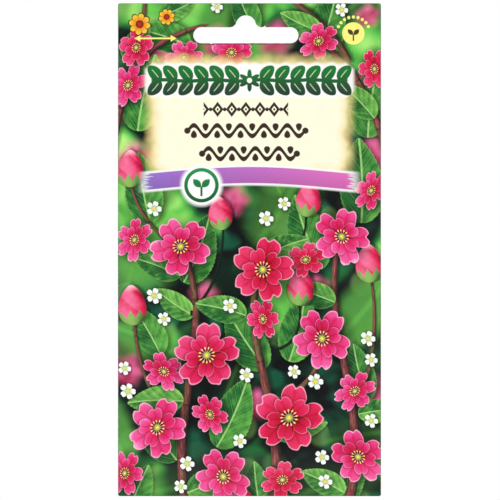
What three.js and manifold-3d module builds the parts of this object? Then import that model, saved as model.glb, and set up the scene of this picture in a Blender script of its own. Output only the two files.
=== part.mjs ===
// A seed packet: one printed paper blank, folded and glued into a flat pouch with a
// bonded header, hung on a peg by a punched slot, with loose seeds sealed inside.
//
// Millimetres, +Z up. The origin is where the peg bears: the top of the slot's round
// crown, at mid thickness. The printed front faces -Y, and +X is to its right.
import * as THREE from "three";
import { mergeVertices } from "three/addons/utils/BufferGeometryUtils.js";
import Module from "manifold-3d";

// Driving dimensions
const PACKET = { width: 80, height: 150, cornerRadius: 0.5 };
const PAPER = 0.12; // thickness of one layer
const SLOT = {
  width: 32, // end to end
  height: 4.9, // of the straight part
  crownRadius: 3.05, // round bump in the middle of the slot's top line
  crownHeight: 3.6, // from the top line to the crown's top
  fillet: 2, // where the crown flares into the top line
  edge: 3.7, // strip of paper above the crown
  offset: 1.1, // the punch sits this far left of the packet's middle
};
const FLAP = {
  top: 20, // turned down over the back of the header
  bottom: 12, // turned up over the back
  taper: 5.5, // how much each end of the bottom flap is cut back
  glue: 10, // side flap, glued under the back panel
  seamSetback: 1.5, // from the side fold to the back panel's free edge
  seamStep: 0.05, // width of the back panel's cut edge
  seamEase: 1.2, // width over which the back panel steps down off the glue flap
};
const POUCH = {
  glueLine: 22, // from the top edge down to where the layers part
  foldRim: 1, // width along each fold where the layers lie together
  slack: 0.03, // half the air film between layers that only touch
  belly: 1.36, // half the inner depth at the fullest point
  upperRise: 62, // length over which the pouch fills out below the header
  lowerRise: 16, // the same above the bottom fold
};
const VENT = { width: 1.6, height: 0.03, setIn: 1.3 }; // unglued gap at each bottom corner
const SEED = { length: 2.8, breadth: 2.4, depth: 2.0, bend: 0.26 };
const SEED_ROWS = [
  { aboveFold: 12.6, count: 3 },
  { aboveFold: 15.5, count: 2 },
];
const SEED_PITCH = 3.25; // between seeds in a row
const SEED_DRAW = 41; // start of the seeded random draw for how the seeds lie

const PAPER_WHITE = 0xf4f2ea;
const SEED_BLACK = 0x15120f;

// Places worked out from the driving dimensions
const middleX = SLOT.offset;
const leftX = middleX - PACKET.width / 2;
const rightX = middleX + PACKET.width / 2;
const topZ = SLOT.edge;
const bottomZ = topZ - PACKET.height;
const glueLineZ = topZ - POUCH.glueLine;
const slotTopZ = -SLOT.crownHeight;
const slotBottomZ = slotTopZ - SLOT.height;
const backEdgeX = leftX + FLAP.seamSetback;
const glueEdgeX = leftX + FLAP.glue;
const TRIM = 0.5; // stock outside the outline, which the outline then trims
const LAP = 0.04; // how far a flap's solid sinks into the layer that it is glued to
const THROUGH = 4; // half length of a punch

const wasm = await Module();
wasm.setup();

/** A closed three.js geometry as a manifold solid. */
function solidOf(geometry) {
  const bare = geometry.clone();
  bare.deleteAttribute("normal");
  bare.deleteAttribute("uv");
  const merged = mergeVertices(bare, 1e-5);
  return new wasm.Manifold(
    new wasm.Mesh({
      numProp: 3,
      vertProperties: Float32Array.from(merged.attributes.position.array),
      triVerts: Uint32Array.from(merged.index.array),
    })
  );
}

/** A manifold solid as a three.js geometry. */
function geometryOf(solid) {
  const mesh = solid.getMesh();
  const geometry = new THREE.BufferGeometry();
  geometry.setAttribute("position", new THREE.BufferAttribute(mesh.vertProperties, 3));
  geometry.setIndex(new THREE.BufferAttribute(mesh.triVerts, 1));
  return geometry;
}

/** 0 to 1 with level ends. */
function ease(t) {
  const k = THREE.MathUtils.clamp(t, 0, 1);
  return k * k * (3 - 2 * k);
}

/** Half the inner depth of the pouch: nothing outside it, a lens across, full low down. */
function halfGap(x, z) {
  const across = Math.abs(x - middleX) / (PACKET.width / 2);
  const rim = 1 - POUCH.foldRim / (PACKET.width / 2);
  const outside = across > rim + 1e-6 || z > glueLineZ + 1e-6 || z < bottomZ + POUCH.foldRim - 1e-6;
  if (outside) return 0;
  const lens = 1 - across * across;
  const filled = ease((glueLineZ - z) / POUCH.upperRise) * ease((z - bottomZ) / POUCH.lowerRise);
  return POUCH.slack + (POUCH.belly - POUCH.slack) * lens * filled;
}

/** How much of a layer the back panel stands out by, over the glue flap at the seam. */
function seamLayer(x) {
  if (x < backEdgeX - 1e-6) return 0; // the glue flap shows past the cut edge
  return 1 - ease((x - glueEdgeX) / FLAP.seamEase);
}

/** Outer face of the back panel. */
function backFace(x, z) {
  return PAPER * (1 + seamLayer(x)) + halfGap(x, z);
}

/** Outer face of the front panel. */
function frontFace(x, z) {
  return -PAPER - halfGap(x, z);
}

/**
 * A sheet-like solid over a grid of stations, between two faces given by formulas.
 * xs(k) may narrow the columns at row k, and zs lists the rows from the bottom.
 */
function quilted(xs, zs, nearFace, farFace) {
  const columns = xs(0).length - 1;
  const rows = zs.length - 1;
  const geometry = new THREE.BoxGeometry(1, 1, 1, columns, 1, rows);
  const place = geometry.attributes.position;
  for (let i = 0; i < place.count; i += 1) {
    const row = Math.round((place.getZ(i) + 0.5) * rows);
    const column = Math.round((place.getX(i) + 0.5) * columns);
    const x = xs(row)[column];
    const z = zs[row];
    place.setXYZ(i, x, place.getY(i) < 0 ? nearFace(x, z) : farFace(x, z), z);
  }
  return solidOf(geometry);
}

/** Evenly spaced stations from start to end. */
function spread(start, end, steps) {
  return Array.from({ length: steps + 1 }, (_, k) => start + ((end - start) * k) / steps);
}

/** Stations across the pouch, closer together at the seam. */
function pouchColumns() {
  const seam = [leftX + POUCH.foldRim, backEdgeX - FLAP.seamStep, backEdgeX, glueEdgeX - 4];
  const step = [glueEdgeX, glueEdgeX + FLAP.seamEase / 2, glueEdgeX + FLAP.seamEase];
  const rest = spread(glueEdgeX + FLAP.seamEase + 3.8, rightX - 5, 12);
  return [...seam, ...step, ...rest, rightX - POUCH.foldRim];
}

/** Stations up the pouch, closer together where it fills out. */
function pouchRows() {
  const low = [POUCH.foldRim, 2.5, 4.5, 7, 9.5, FLAP.bottom, 14, POUCH.lowerRise];
  const high = spread(POUCH.lowerRise, PACKET.height - POUCH.glueLine, 15).slice(1);
  return [...low, ...high].map((above) => bottomZ + above);
}

/** The folded layers without their flaps: a flat header and a filled-out pouch. */
function foldedBody() {
  const columns = [leftX - TRIM, ...pouchColumns(), rightX + TRIM];
  const rows = [bottomZ - TRIM, ...pouchRows(), glueLineZ + POUCH.foldRim, topZ + TRIM];
  return quilted(() => columns, rows, frontFace, backFace);
}

/** The air in the pouch. */
function pouchAir() {
  const columns = pouchColumns();
  return quilted(() => columns, pouchRows(), (x, z) => -halfGap(x, z), halfGap);
}

/** The flap turned down over the back of the header. */
function topFlap() {
  const seamColumns = pouchColumns().filter((x) => x < glueEdgeX + 2);
  const columns = [leftX - TRIM, ...seamColumns, rightX + TRIM];
  const rows = [topZ - FLAP.top, topZ + TRIM];
  const onBack = (x, z) => backFace(x, z) - LAP;
  const outside = (x, z) => backFace(x, z) + PAPER;
  return quilted(() => columns, rows, onBack, outside);
}

/** The flap turned up over the bottom of the back, its ends cut at a slant. */
function bottomFlap() {
  const rows = [bottomZ - TRIM, ...pouchRows().filter((z) => z < bottomZ + FLAP.bottom + 0.01)];
  const middleColumns = pouchColumns().filter(
    (x) => x > leftX + FLAP.taper + 2 && x < rightX - FLAP.taper - 2
  );
  const columnsAt = (row) => {
    const cut = (FLAP.taper * Math.max(rows[row] - bottomZ, 0)) / FLAP.bottom;
    return [leftX + 0.4 + cut, ...middleColumns, rightX - 0.4 - cut];
  };
  const onBack = (x, z) => backFace(x, z) - LAP;
  const outside = (x, z) => backFace(x, z) + PAPER;
  return quilted(columnsAt, rows, onBack, outside);
}

/** An outline pushed through every layer, with 2 * curveSegments sides to each arc. */
function punch(outline, curveSegments) {
  const geometry = new THREE.ExtrudeGeometry(outline, {
    depth: 2 * THROUGH,
    bevelEnabled: false,
    curveSegments,
  });
  geometry.translate(0, 0, -THROUGH);
  geometry.rotateX(Math.PI / 2);
  return solidOf(geometry);
}

/** The packet's outline, with its corners barely rounded. */
function packetOutline() {
  const r = PACKET.cornerRadius;
  const outline = new THREE.Shape();
  outline.moveTo(leftX + r, bottomZ);
  outline.absarc(rightX - r, bottomZ + r, r, -Math.PI / 2, 0);
  outline.absarc(rightX - r, topZ - r, r, 0, Math.PI / 2);
  outline.absarc(leftX + r, topZ - r, r, Math.PI / 2, Math.PI);
  outline.absarc(leftX + r, bottomZ + r, r, Math.PI, 1.5 * Math.PI);
  return outline;
}

/** The hang slot: a round-ended slot with a round crown in the middle of its top. */
function slotOutline() {
  const endRadius = SLOT.height / 2;
  const endX = SLOT.width / 2 - endRadius;
  const endZ = slotTopZ - endRadius;
  const filletZ = slotTopZ + SLOT.fillet;
  const reach = SLOT.crownRadius + SLOT.fillet;
  const rise = filletZ + SLOT.crownRadius; // of the fillets' centres above the crown's
  const filletX = Math.sqrt(reach * reach - rise * rise);
  const lean = Math.asin(rise / reach);
  const outline = new THREE.Shape();
  outline.moveTo(-endX, slotBottomZ);
  outline.absarc(endX, endZ, endRadius, -Math.PI / 2, Math.PI / 2);
  outline.absarc(filletX, filletZ, SLOT.fillet, -Math.PI / 2, -Math.PI + lean, true);
  outline.absarc(0, -SLOT.crownRadius, SLOT.crownRadius, lean, Math.PI - lean);
  outline.absarc(-filletX, filletZ, SLOT.fillet, -lean, -Math.PI / 2, true);
  outline.absarc(-endX, endZ, endRadius, Math.PI / 2, 1.5 * Math.PI);
  return outline;
}

/** The thin unglued gap at a bottom corner, which lets the pouch breathe. */
function vent(side) {
  const edgeX = side < 0 ? leftX : rightX;
  const rise = POUCH.foldRim + 1;
  const geometry = new THREE.BoxGeometry(VENT.width, VENT.height, rise + TRIM);
  geometry.translate(
    edgeX - side * (VENT.setIn + VENT.width / 2), 0, bottomZ + (rise - TRIM) / 2
  );
  return solidOf(geometry);
}

/** The folded, glued and punched blank. */
function packet() {
  const folded = foldedBody().add(topFlap()).add(bottomFlap());
  const trimmed = folded.intersect(punch(packetOutline(), 2));
  const punched = trimmed.subtract(punch(slotOutline(), 8));
  const hollow = punched.subtract(pouchAir().add(vent(-1)).add(vent(1)));
  const material = new THREE.MeshStandardMaterial({
    color: PAPER_WHITE, roughness: 0.5, metalness: 0,
  });
  const mesh = new THREE.Mesh(geometryOf(hollow), material);
  mesh.name = "packet";
  return mesh;
}

/** A kidney-shaped seed, its length along X and its flat sides facing front and back. */
function seedGeometry() {
  const geometry = new THREE.SphereGeometry(1, 14, 10);
  const place = geometry.attributes.position;
  for (let i = 0; i < place.count; i += 1) {
    const x = place.getX(i);
    const bent = place.getZ(i) - SEED.bend * x * x;
    place.setXYZ(
      i, (x * SEED.length) / 2, (place.getY(i) * SEED.depth) / 2, (bent * SEED.breadth) / 2
    );
  }
  geometry.deleteAttribute("normal");
  geometry.deleteAttribute("uv");
  return mergeVertices(geometry, 1e-5);
}

/** A repeatable stream of numbers from 0 to 1. */
function drawFrom(start) {
  let state = start;
  return () => {
    state = (state * 16807) % 2147483647;
    return state / 2147483647;
  };
}

/** The seeds, heaped where the pouch is just deep enough to take them. */
function seeds() {
  const draw = drawFrom(SEED_DRAW);
  const heap = [];
  for (const { aboveFold, count } of SEED_ROWS) {
    for (let k = 0; k < count; k += 1) {
      const material = new THREE.MeshStandardMaterial({
        color: SEED_BLACK, roughness: 0.25, metalness: 0,
      });
      const mesh = new THREE.Mesh(seedGeometry(), material);
      mesh.name = `seed_${heap.length + 1}`;
      mesh.position.set(
        middleX + (k - (count - 1) / 2) * SEED_PITCH, 0, bottomZ + aboveFold + 0.2 * draw()
      );
      mesh.rotation.y = (draw() - 0.5) * 0.5;
      heap.push(mesh);
    }
  }
  return heap;
}

const seedPacket = new THREE.Group();
seedPacket.add(packet(), ...seeds());

export default seedPacket;
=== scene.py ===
"""A paper seed packet on its hang slot: the folded blank with its print, the seeds in it and the studio.

Sizes are in millimetres, as in the part's source, and turn into metres where a mesh is made.
The origin is the top of the slot's round crown. The printed front faces -Y and +Z is up.
"""

import logging
import math
import random
from dataclasses import dataclass
from enum import Enum, IntEnum
from typing import Iterator, Sequence

import bmesh
import bpy
import numpy as np
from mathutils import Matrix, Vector


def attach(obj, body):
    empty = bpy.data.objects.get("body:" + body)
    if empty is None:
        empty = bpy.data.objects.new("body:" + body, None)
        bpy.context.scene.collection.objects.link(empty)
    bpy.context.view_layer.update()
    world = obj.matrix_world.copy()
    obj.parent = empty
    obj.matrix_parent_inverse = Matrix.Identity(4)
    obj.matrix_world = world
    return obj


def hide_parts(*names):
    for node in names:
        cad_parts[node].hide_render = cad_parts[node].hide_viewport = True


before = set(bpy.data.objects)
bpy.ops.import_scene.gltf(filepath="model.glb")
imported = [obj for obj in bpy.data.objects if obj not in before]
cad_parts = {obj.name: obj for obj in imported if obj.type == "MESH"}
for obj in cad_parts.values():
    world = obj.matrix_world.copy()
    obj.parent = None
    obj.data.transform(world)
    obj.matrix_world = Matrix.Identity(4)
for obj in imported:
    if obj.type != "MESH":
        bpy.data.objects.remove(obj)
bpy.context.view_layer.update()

LOG = logging.getLogger("seed_packet")
MM = 0.001
TURN = 2 * math.pi
BAKE_MAP = "OFBake"
SHEET_MAP = "Sheet"
RIM_CELLS = (0.004, 0.500)  # where the blank's cut edges lie, up the bake map
WALL_CELLS = (0.502, 0.518)  # where the slot's walls lie, above them
NOWHERE = 99.0  # local coordinate of a face that no stamp reaches

Array = np.ndarray
Material = bpy.types.Material
Mesh = bpy.types.Mesh
Object = bpy.types.Object
Socket = bpy.types.NodeSocket
Ink = tuple[float, float, float, float]
Paint = Socket | Ink
Number = "Num | float"
Rows = Sequence[tuple[float, ...]]


def ink(red: int, green: int, blue: int) -> Ink:
    """A printed colour, as it is seen on a screen from 0 to 255, as linear light with an alpha of 1."""
    parts = [c / 255 for c in (red, green, blue)]
    return (*[c / 12.92 if c <= 0.04045 else ((c + 0.055) / 1.055) ** 2.4 for c in parts], 1.0)


def ease(value: Array) -> Array:
    """0 to 1 with level ends, for arrays."""
    held = np.clip(value, 0.0, 1.0)
    return held * held * (3.0 - 2.0 * held)


def turned(x: "Array | Num", y: "Array | Num", angle: float) -> tuple:
    """Two coordinates turned clockwise by an angle in radians."""
    return x * math.cos(angle) + y * math.sin(angle), y * math.cos(angle) - x * math.sin(angle)


# ---- shader maths


class Num:
    """A number in a node tree, with Python's operators as Math nodes."""

    def __init__(self, tree: "Tree", socket: Socket) -> None:
        """Keeps the tree and the output socket that carries the number."""
        self.tree = tree
        self.socket = socket

    def math(self, operation: str, *others: Number) -> "Num":
        """A Math node's result, whose first value is this number."""
        return self.tree.number(operation, self, *others)

    def __add__(self, other: Number) -> "Num":
        """self + other."""
        return self.math("ADD", other)

    __radd__ = __add__

    def __sub__(self, other: Number) -> "Num":
        """self - other."""
        return self.math("SUBTRACT", other)

    def __rsub__(self, other: float) -> "Num":
        """other - self."""
        return self.tree.number("SUBTRACT", other, self)

    def __mul__(self, other: Number) -> "Num":
        """self * other."""
        return self.math("MULTIPLY", other)

    __rmul__ = __mul__

    def __truediv__(self, other: Number) -> "Num":
        """self / other."""
        return self.math("DIVIDE", other)

    def __rtruediv__(self, other: float) -> "Num":
        """other / self."""
        return self.tree.number("DIVIDE", other, self)

    def __pow__(self, other: Number) -> "Num":
        """self ** other."""
        return self.math("POWER", other)

    def __rpow__(self, other: float) -> "Num":
        """other ** self."""
        return self.tree.number("POWER", other, self)

    def __abs__(self) -> "Num":
        """abs(self)."""
        return self.math("ABSOLUTE")

    def fract(self) -> "Num":
        """The part after the point."""
        return self.math("FRACT")

    def zigzag(self) -> "Num":
        """0.5 at every whole number, down to 0 half way between two."""
        return abs(self.fract() - 0.5)

    def largest(self, other: Number) -> "Num":
        """The larger of two numbers."""
        return self.math("MAXIMUM", other)

    def least(self, other: Number) -> "Num":
        """The smaller of two numbers."""
        return self.math("MINIMUM", other)

    def held(self) -> "Num":
        """The number kept from 0 to 1."""
        return self.largest(0.0).least(1.0)

    def _step(self, low: Number, high: Number, start: float) -> "Num":
        """A smooth step between two numbers, whose start is 0 for a step up and 1 for a step down."""
        sockets = {"Value": self, "From Min": low, "From Max": high, "To Min": start, "To Max": 1.0 - start}
        return self.tree.read("ShaderNodeMapRange", {"interpolation_type": "SMOOTHSTEP"}, sockets)

    def rise(self, low: Number, high: Number) -> "Num":
        """A smooth step up: 0 at or below low, 1 at or above high."""
        return self._step(low, high, 0.0)

    def fall(self, low: Number, high: Number) -> "Num":
        """A smooth step down: 1 at or below low, 0 at or above high."""
        return self._step(low, high, 1.0)


class Tree:
    """A material's or world's node tree, built in code."""

    def __init__(self, owner: Material | bpy.types.World) -> None:
        """Empties a tree and keeps it.

        Args:
            owner: the material or world that the tree belongs to.
        """
        self.owner = owner
        owner.use_nodes = True
        self.tree = owner.node_tree
        self.tree.nodes.clear()

    def node(self, kind: str, settings: dict | None = None, sockets: dict | None = None) -> bpy.types.Node:
        """Adds a node.

        Args:
            kind: the node's type.
            settings: its properties, set first; stops gives a ramp's places and colours.
            sockets: values or links of its inputs, by name or number.

        Returns:
            The node.
        """
        made = self.tree.nodes.new(kind)
        for name, value in (settings or {}).items():
            if name == "stops":
                elements = made.color_ramp.elements
                for place, _ in value[2:]:
                    elements.new(place)
                for element, (place, colour) in zip(elements, value):
                    element.position, element.color = place, colour
            else:
                setattr(made, name, value)
        for key, value in (sockets or {}).items():
            link = value.socket if isinstance(value, Num) else value
            if isinstance(link, Socket):
                self.tree.links.new(link, made.inputs[key])
            else:
                made.inputs[key].default_value = link
        return made

    def read(
        self, kind: str, settings: dict | None = None, sockets: dict | None = None, output: int | str = 0
    ) -> Num:
        """Adds a node, as node() does, and reads one of its outputs as a number."""
        return Num(self, self.node(kind, settings, sockets).outputs[output])

    def number(self, operation: str, *values: Number) -> Num:
        """A Math node's result on any values."""
        return self.read("ShaderNodeMath", {"operation": operation}, dict(enumerate(values)))

    def split(self, vector: Socket) -> list[Num]:
        """The three numbers of a vector."""
        return [Num(self, part) for part in self.node("ShaderNodeSeparateXYZ", {}, {0: vector}).outputs]

    def stamp(self, layer: "Layer") -> tuple[Socket, Num, Num, Num]:
        """A stamp layer's local place as a vector, and its two coordinates and tone as numbers."""
        vector = self.node("ShaderNodeAttribute", {"attribute_name": layer.value}).outputs["Vector"]
        return (vector, *self.split(vector))

    def sheet(self) -> Socket:
        """The place on the unfolded sheet, in millimetres from the front's middle."""
        return self.node("ShaderNodeUVMap", {"uv_map": SHEET_MAP}).outputs[0]

    def at(self, across: float = 0.0, up: float = 0.0) -> tuple[Num, Num]:
        """The place on the sheet as two numbers, from a point of it."""
        x, y, _ = self.split(self.sheet())
        return x - across, y - up

    def body(self) -> Socket:
        """The place in the object's own metres."""
        return self.node("ShaderNodeTexCoord").outputs["Object"]

    def noise(self, vector: Socket, scale: float, detail: float = 1.0, warp: float = 0.0) -> Num:
        """Smooth noise from 0 to 1: how fine it is, its finer layers and how much it is distorted."""
        grain = {"Scale": scale, "Detail": detail, "Roughness": 0.5, "Distortion": warp}
        return self.read("ShaderNodeTexNoise", {"noise_dimensions": "3D"}, {"Vector": vector, **grain})

    def mix(self, share: Number, under: Paint, over: Paint, way: str = "MIX") -> Socket:
        """Two colours mixed: how much of the second shows, both colours and the blend type."""
        settings = {"data_type": "RGBA", "blend_type": way}
        return self.node("ShaderNodeMix", settings, {0: share, 6: under, 7: over}).outputs[2]

    def lit(self, colour: Paint, light: Number) -> Socket:
        """A colour made lighter or darker by a number."""
        sockets = {0: colour if isinstance(colour, Socket) else colour[:3], "Scale": light}
        return self.node("ShaderNodeVectorMath", {"operation": "SCALE"}, sockets).outputs[0]

    def ramp(self, value: Num, *stops: tuple[float, Ink]) -> Socket:
        """A colour picked by a number, from places between 0 and 1 with their colours."""
        return self.node("ShaderNodeValToRGB", {"stops": stops}, {0: value}).outputs[0]

    def bump(self, strength: float, distance: float, height: Num) -> Socket:
        """The normal of a rough surface, with its roughness in metres and its height from 0 to 1."""
        sockets = {"Strength": strength, "Distance": distance, "Height": height}
        return self.node("ShaderNodeBump", {}, sockets).outputs[0]

    def surface(self, coat: dict) -> Material:
        """Ends the tree in a Principled surface.

        Args:
            coat: the surface's sockets.

        Returns:
            The tree's material.
        """
        shader = self.node("ShaderNodeBsdfPrincipled", {}, coat)
        self.node("ShaderNodeOutputMaterial", {}, {"Surface": shader.outputs[0]})
        return self.owner


def add_object(name: str, data: bpy.types.ID) -> Object:
    """Adds an object to the scene.

    Args:
        name: what it is called.
        data: its mesh, light or camera.

    Returns:
        The object.
    """
    made = bpy.data.objects.new(name, data)
    bpy.context.scene.collection.objects.link(made)
    return made


class Zone(IntEnum):
    """The parts of the unfolded blank, its two inner sides and its cut edges."""

    GLUE_FLAP = 0
    FRONT = 1
    BACK = 2
    TOP_FLAP = 3
    BOTTOM_FLAP = 4
    INSIDE_FRONT = 5
    INSIDE_BACK = 6
    CUT_EDGE = 7


class Dress(IntEnum):
    """The packet's material slots, in order."""

    FRONT_PRINT = 0
    BACK_PRINT = 1
    RAW_PAPER = 2
    CUT_EDGE = 3


class Layer(Enum):
    """The stamp layers of the print, from the back of the picture to its front."""

    DIM_LEAF = "stamp_dim_leaf"
    FAR_LEAF = "stamp_far_leaf"
    FAR_BLOSSOM = "stamp_far_blossom"
    LOW_LEAF = "stamp_low_leaf"
    STEM = "stamp_stem"
    HIGH_LEAF = "stamp_high_leaf"
    STAR = "stamp_star"
    BUD = "stamp_bud"
    LOW_BLOSSOM = "stamp_low_blossom"
    HIGH_BLOSSOM = "stamp_high_blossom"
    DAISY = "stamp_daisy"


# ---- the folded blank


@dataclass(frozen=True)
class PacketSize:
    """The packet's outline and its layers, as in the part's source."""

    width: float = 80.0
    height: float = 150.0
    corner_radius: float = 0.5
    paper: float = 0.12
    film: float = 0.012  # air between glued layers
    top: float = 3.7  # the top fold, above the slot's crown
    middle_x: float = 1.1  # the packet's middle, to the right of the slot's

    @property
    def middle_z(self) -> float:
        """Half way up the packet."""
        return self.top - self.height / 2

    @property
    def left(self) -> float:
        """The left fold."""
        return self.middle_x - self.width / 2

    @property
    def right(self) -> float:
        """The right fold."""
        return self.middle_x + self.width / 2

    @property
    def bottom(self) -> float:
        """The bottom fold."""
        return self.top - self.height


@dataclass(frozen=True)
class Pucker:
    """A shallow ridge in a panel, blown up along a line."""

    start_x: float  # the four places are from the packet's middle
    start_z: float
    end_x: float
    end_z: float
    breadth: float
    rise: float

    def lift(self, across: Array, up: Array) -> Array:
        """How far the ridge stands out.

        Args:
            across, up: places from the packet's middle.

        Returns:
            The rise at each place.
        """
        run_x, run_z = self.end_x - self.start_x, self.end_z - self.start_z
        length = math.hypot(run_x, run_z)
        x, z = across - self.start_x, up - self.start_z
        along, aside = (x * run_x + z * run_z) / length, (z * run_x - x * run_z) / length
        ends = ease(along / (0.45 * length)) * ease((length - along) / (0.45 * length))
        return self.rise * np.exp(-((aside / self.breadth) ** 2)) * ends


@dataclass(frozen=True)
class Pouch:
    """How the two panels stand apart: a lens across, full low down, with soft puckers."""

    size: PacketSize
    glue_line: float = 22.0
    belly: float = 1.36
    upper_rise: float = 62.0
    lower_rise: float = 16.0
    tents: tuple[tuple[float, float], ...] = ()  # where seeds press against the paper
    tent_rise: float = 0.09
    tent_radius: float = 2.4
    rim: float = 0.12  # how full the pouch is where the puckers are at full height
    wave_rise: float = 0.05  # of the waves, 28 and 44 mm long, that handling leaves all over
    twist: float = 0.16  # how far one side stands behind the other, half way down
    bow: float = 0.10  # how far back the bottom is bent
    # ridges in the panels: both ends, from the packet's middle, then breadth and rise
    front_puckers: Rows = (
        (-31, 46, -17, 2, 3.4, 0.16), (-9, 50, -6, 6, 4.2, -0.12), (12, 49, 17, 0, 3.8, 0.15),
        (31, 47, 25, 8, 3.0, -0.10), (-38, -72, -16, -47, 2.4, 0.20), (38, -72, 19, -44, 2.6, 0.18),
        (-37, -40, -22, -20, 3.6, -0.10), (37, -30, 20, -12, 3.8, -0.09),
    )
    back_puckers: Rows = (
        (27, 47, 16, 8, 3.2, 0.15), (2, 49, 5, 5, 4.4, -0.12), (-24, 47, -14, 4, 3.6, 0.14),
        (-37, -58, -18, -38, 2.6, 0.18), (37, -58, 20, -34, 2.4, 0.16),
    )

    def filled(self, x: Array, z: Array) -> Array:
        """How full the pouch is.

        Args:
            x, z: places across and up.

        Returns:
            0 at the pouch's rim, up to 1, for each place.
        """
        across = np.clip(np.abs(x - self.size.middle_x) / (self.size.width / 2), 0, 1)
        below_glue = (self.size.top - self.glue_line - z) / self.upper_rise
        above_fold = (z - self.size.bottom) / self.lower_rise
        return (1 - across**2) * ease(below_glue) * ease(above_fold)

    def half_gap(self, x: Array, z: Array, puckers: Rows) -> Array:
        """From mid thickness to a panel's inner face.

        Args:
            x, z: places across and up.
            puckers: the panel's ridges.

        Returns:
            The distance at each place.
        """
        full = self.filled(x, z)
        depth = self.size.film / 2 + (self.belly - self.size.film) * full
        across, up = x - self.size.middle_x, z - self.size.middle_z
        window = ease(full / self.rim)
        for row in puckers:
            depth = depth + Pucker(*row).lift(across, up) * window
        waves = np.sin(0.21 * across + 0.09 * up) * np.sin(0.13 * up - 0.06 * across + 1.0)
        depth = depth + self.wave_rise * waves * window
        for tent_x, tent_z in self.tents:
            away = np.hypot(x - tent_x, z - tent_z) / self.tent_radius
            depth = depth + self.tent_rise * np.exp(-(away**2))
        return np.maximum(depth, self.size.film / 2)

    def warp(self, x: Array, z: Array) -> Array:
        """The whole packet's faint bend.

        Args:
            x, z: places across and up.

        Returns:
            How far back each place is bent, nothing in the header.
        """
        across = (x - self.size.middle_x) / (self.size.width / 2)
        down = np.clip((self.size.top - self.glue_line - z) / (self.size.height - self.glue_line), 0, 1)
        return self.twist * across * np.sin(math.pi * down) + self.bow * down**2


@dataclass(frozen=True)
class BakeIsland:
    """Where one zone of the blank lies in the bake map; each box is its left, low, right and top ends."""

    flat: tuple[float, float, float, float]
    baked: tuple[float, float, float, float]
    turned: bool = False

    def place(self, flat: Array) -> Array:
        """Bake places of flat places.

        Args:
            flat: places on the blank, one row each.

        Returns:
            Places in the bake map.
        """
        flat_low, flat_high, low, high = np.array([*self.flat, *self.baked]).reshape(4, 2)
        share = (flat - flat_low) / (flat_high - flat_low)
        if self.turned:
            share = share[:, ::-1]
        return low + share * (high - low)


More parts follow.
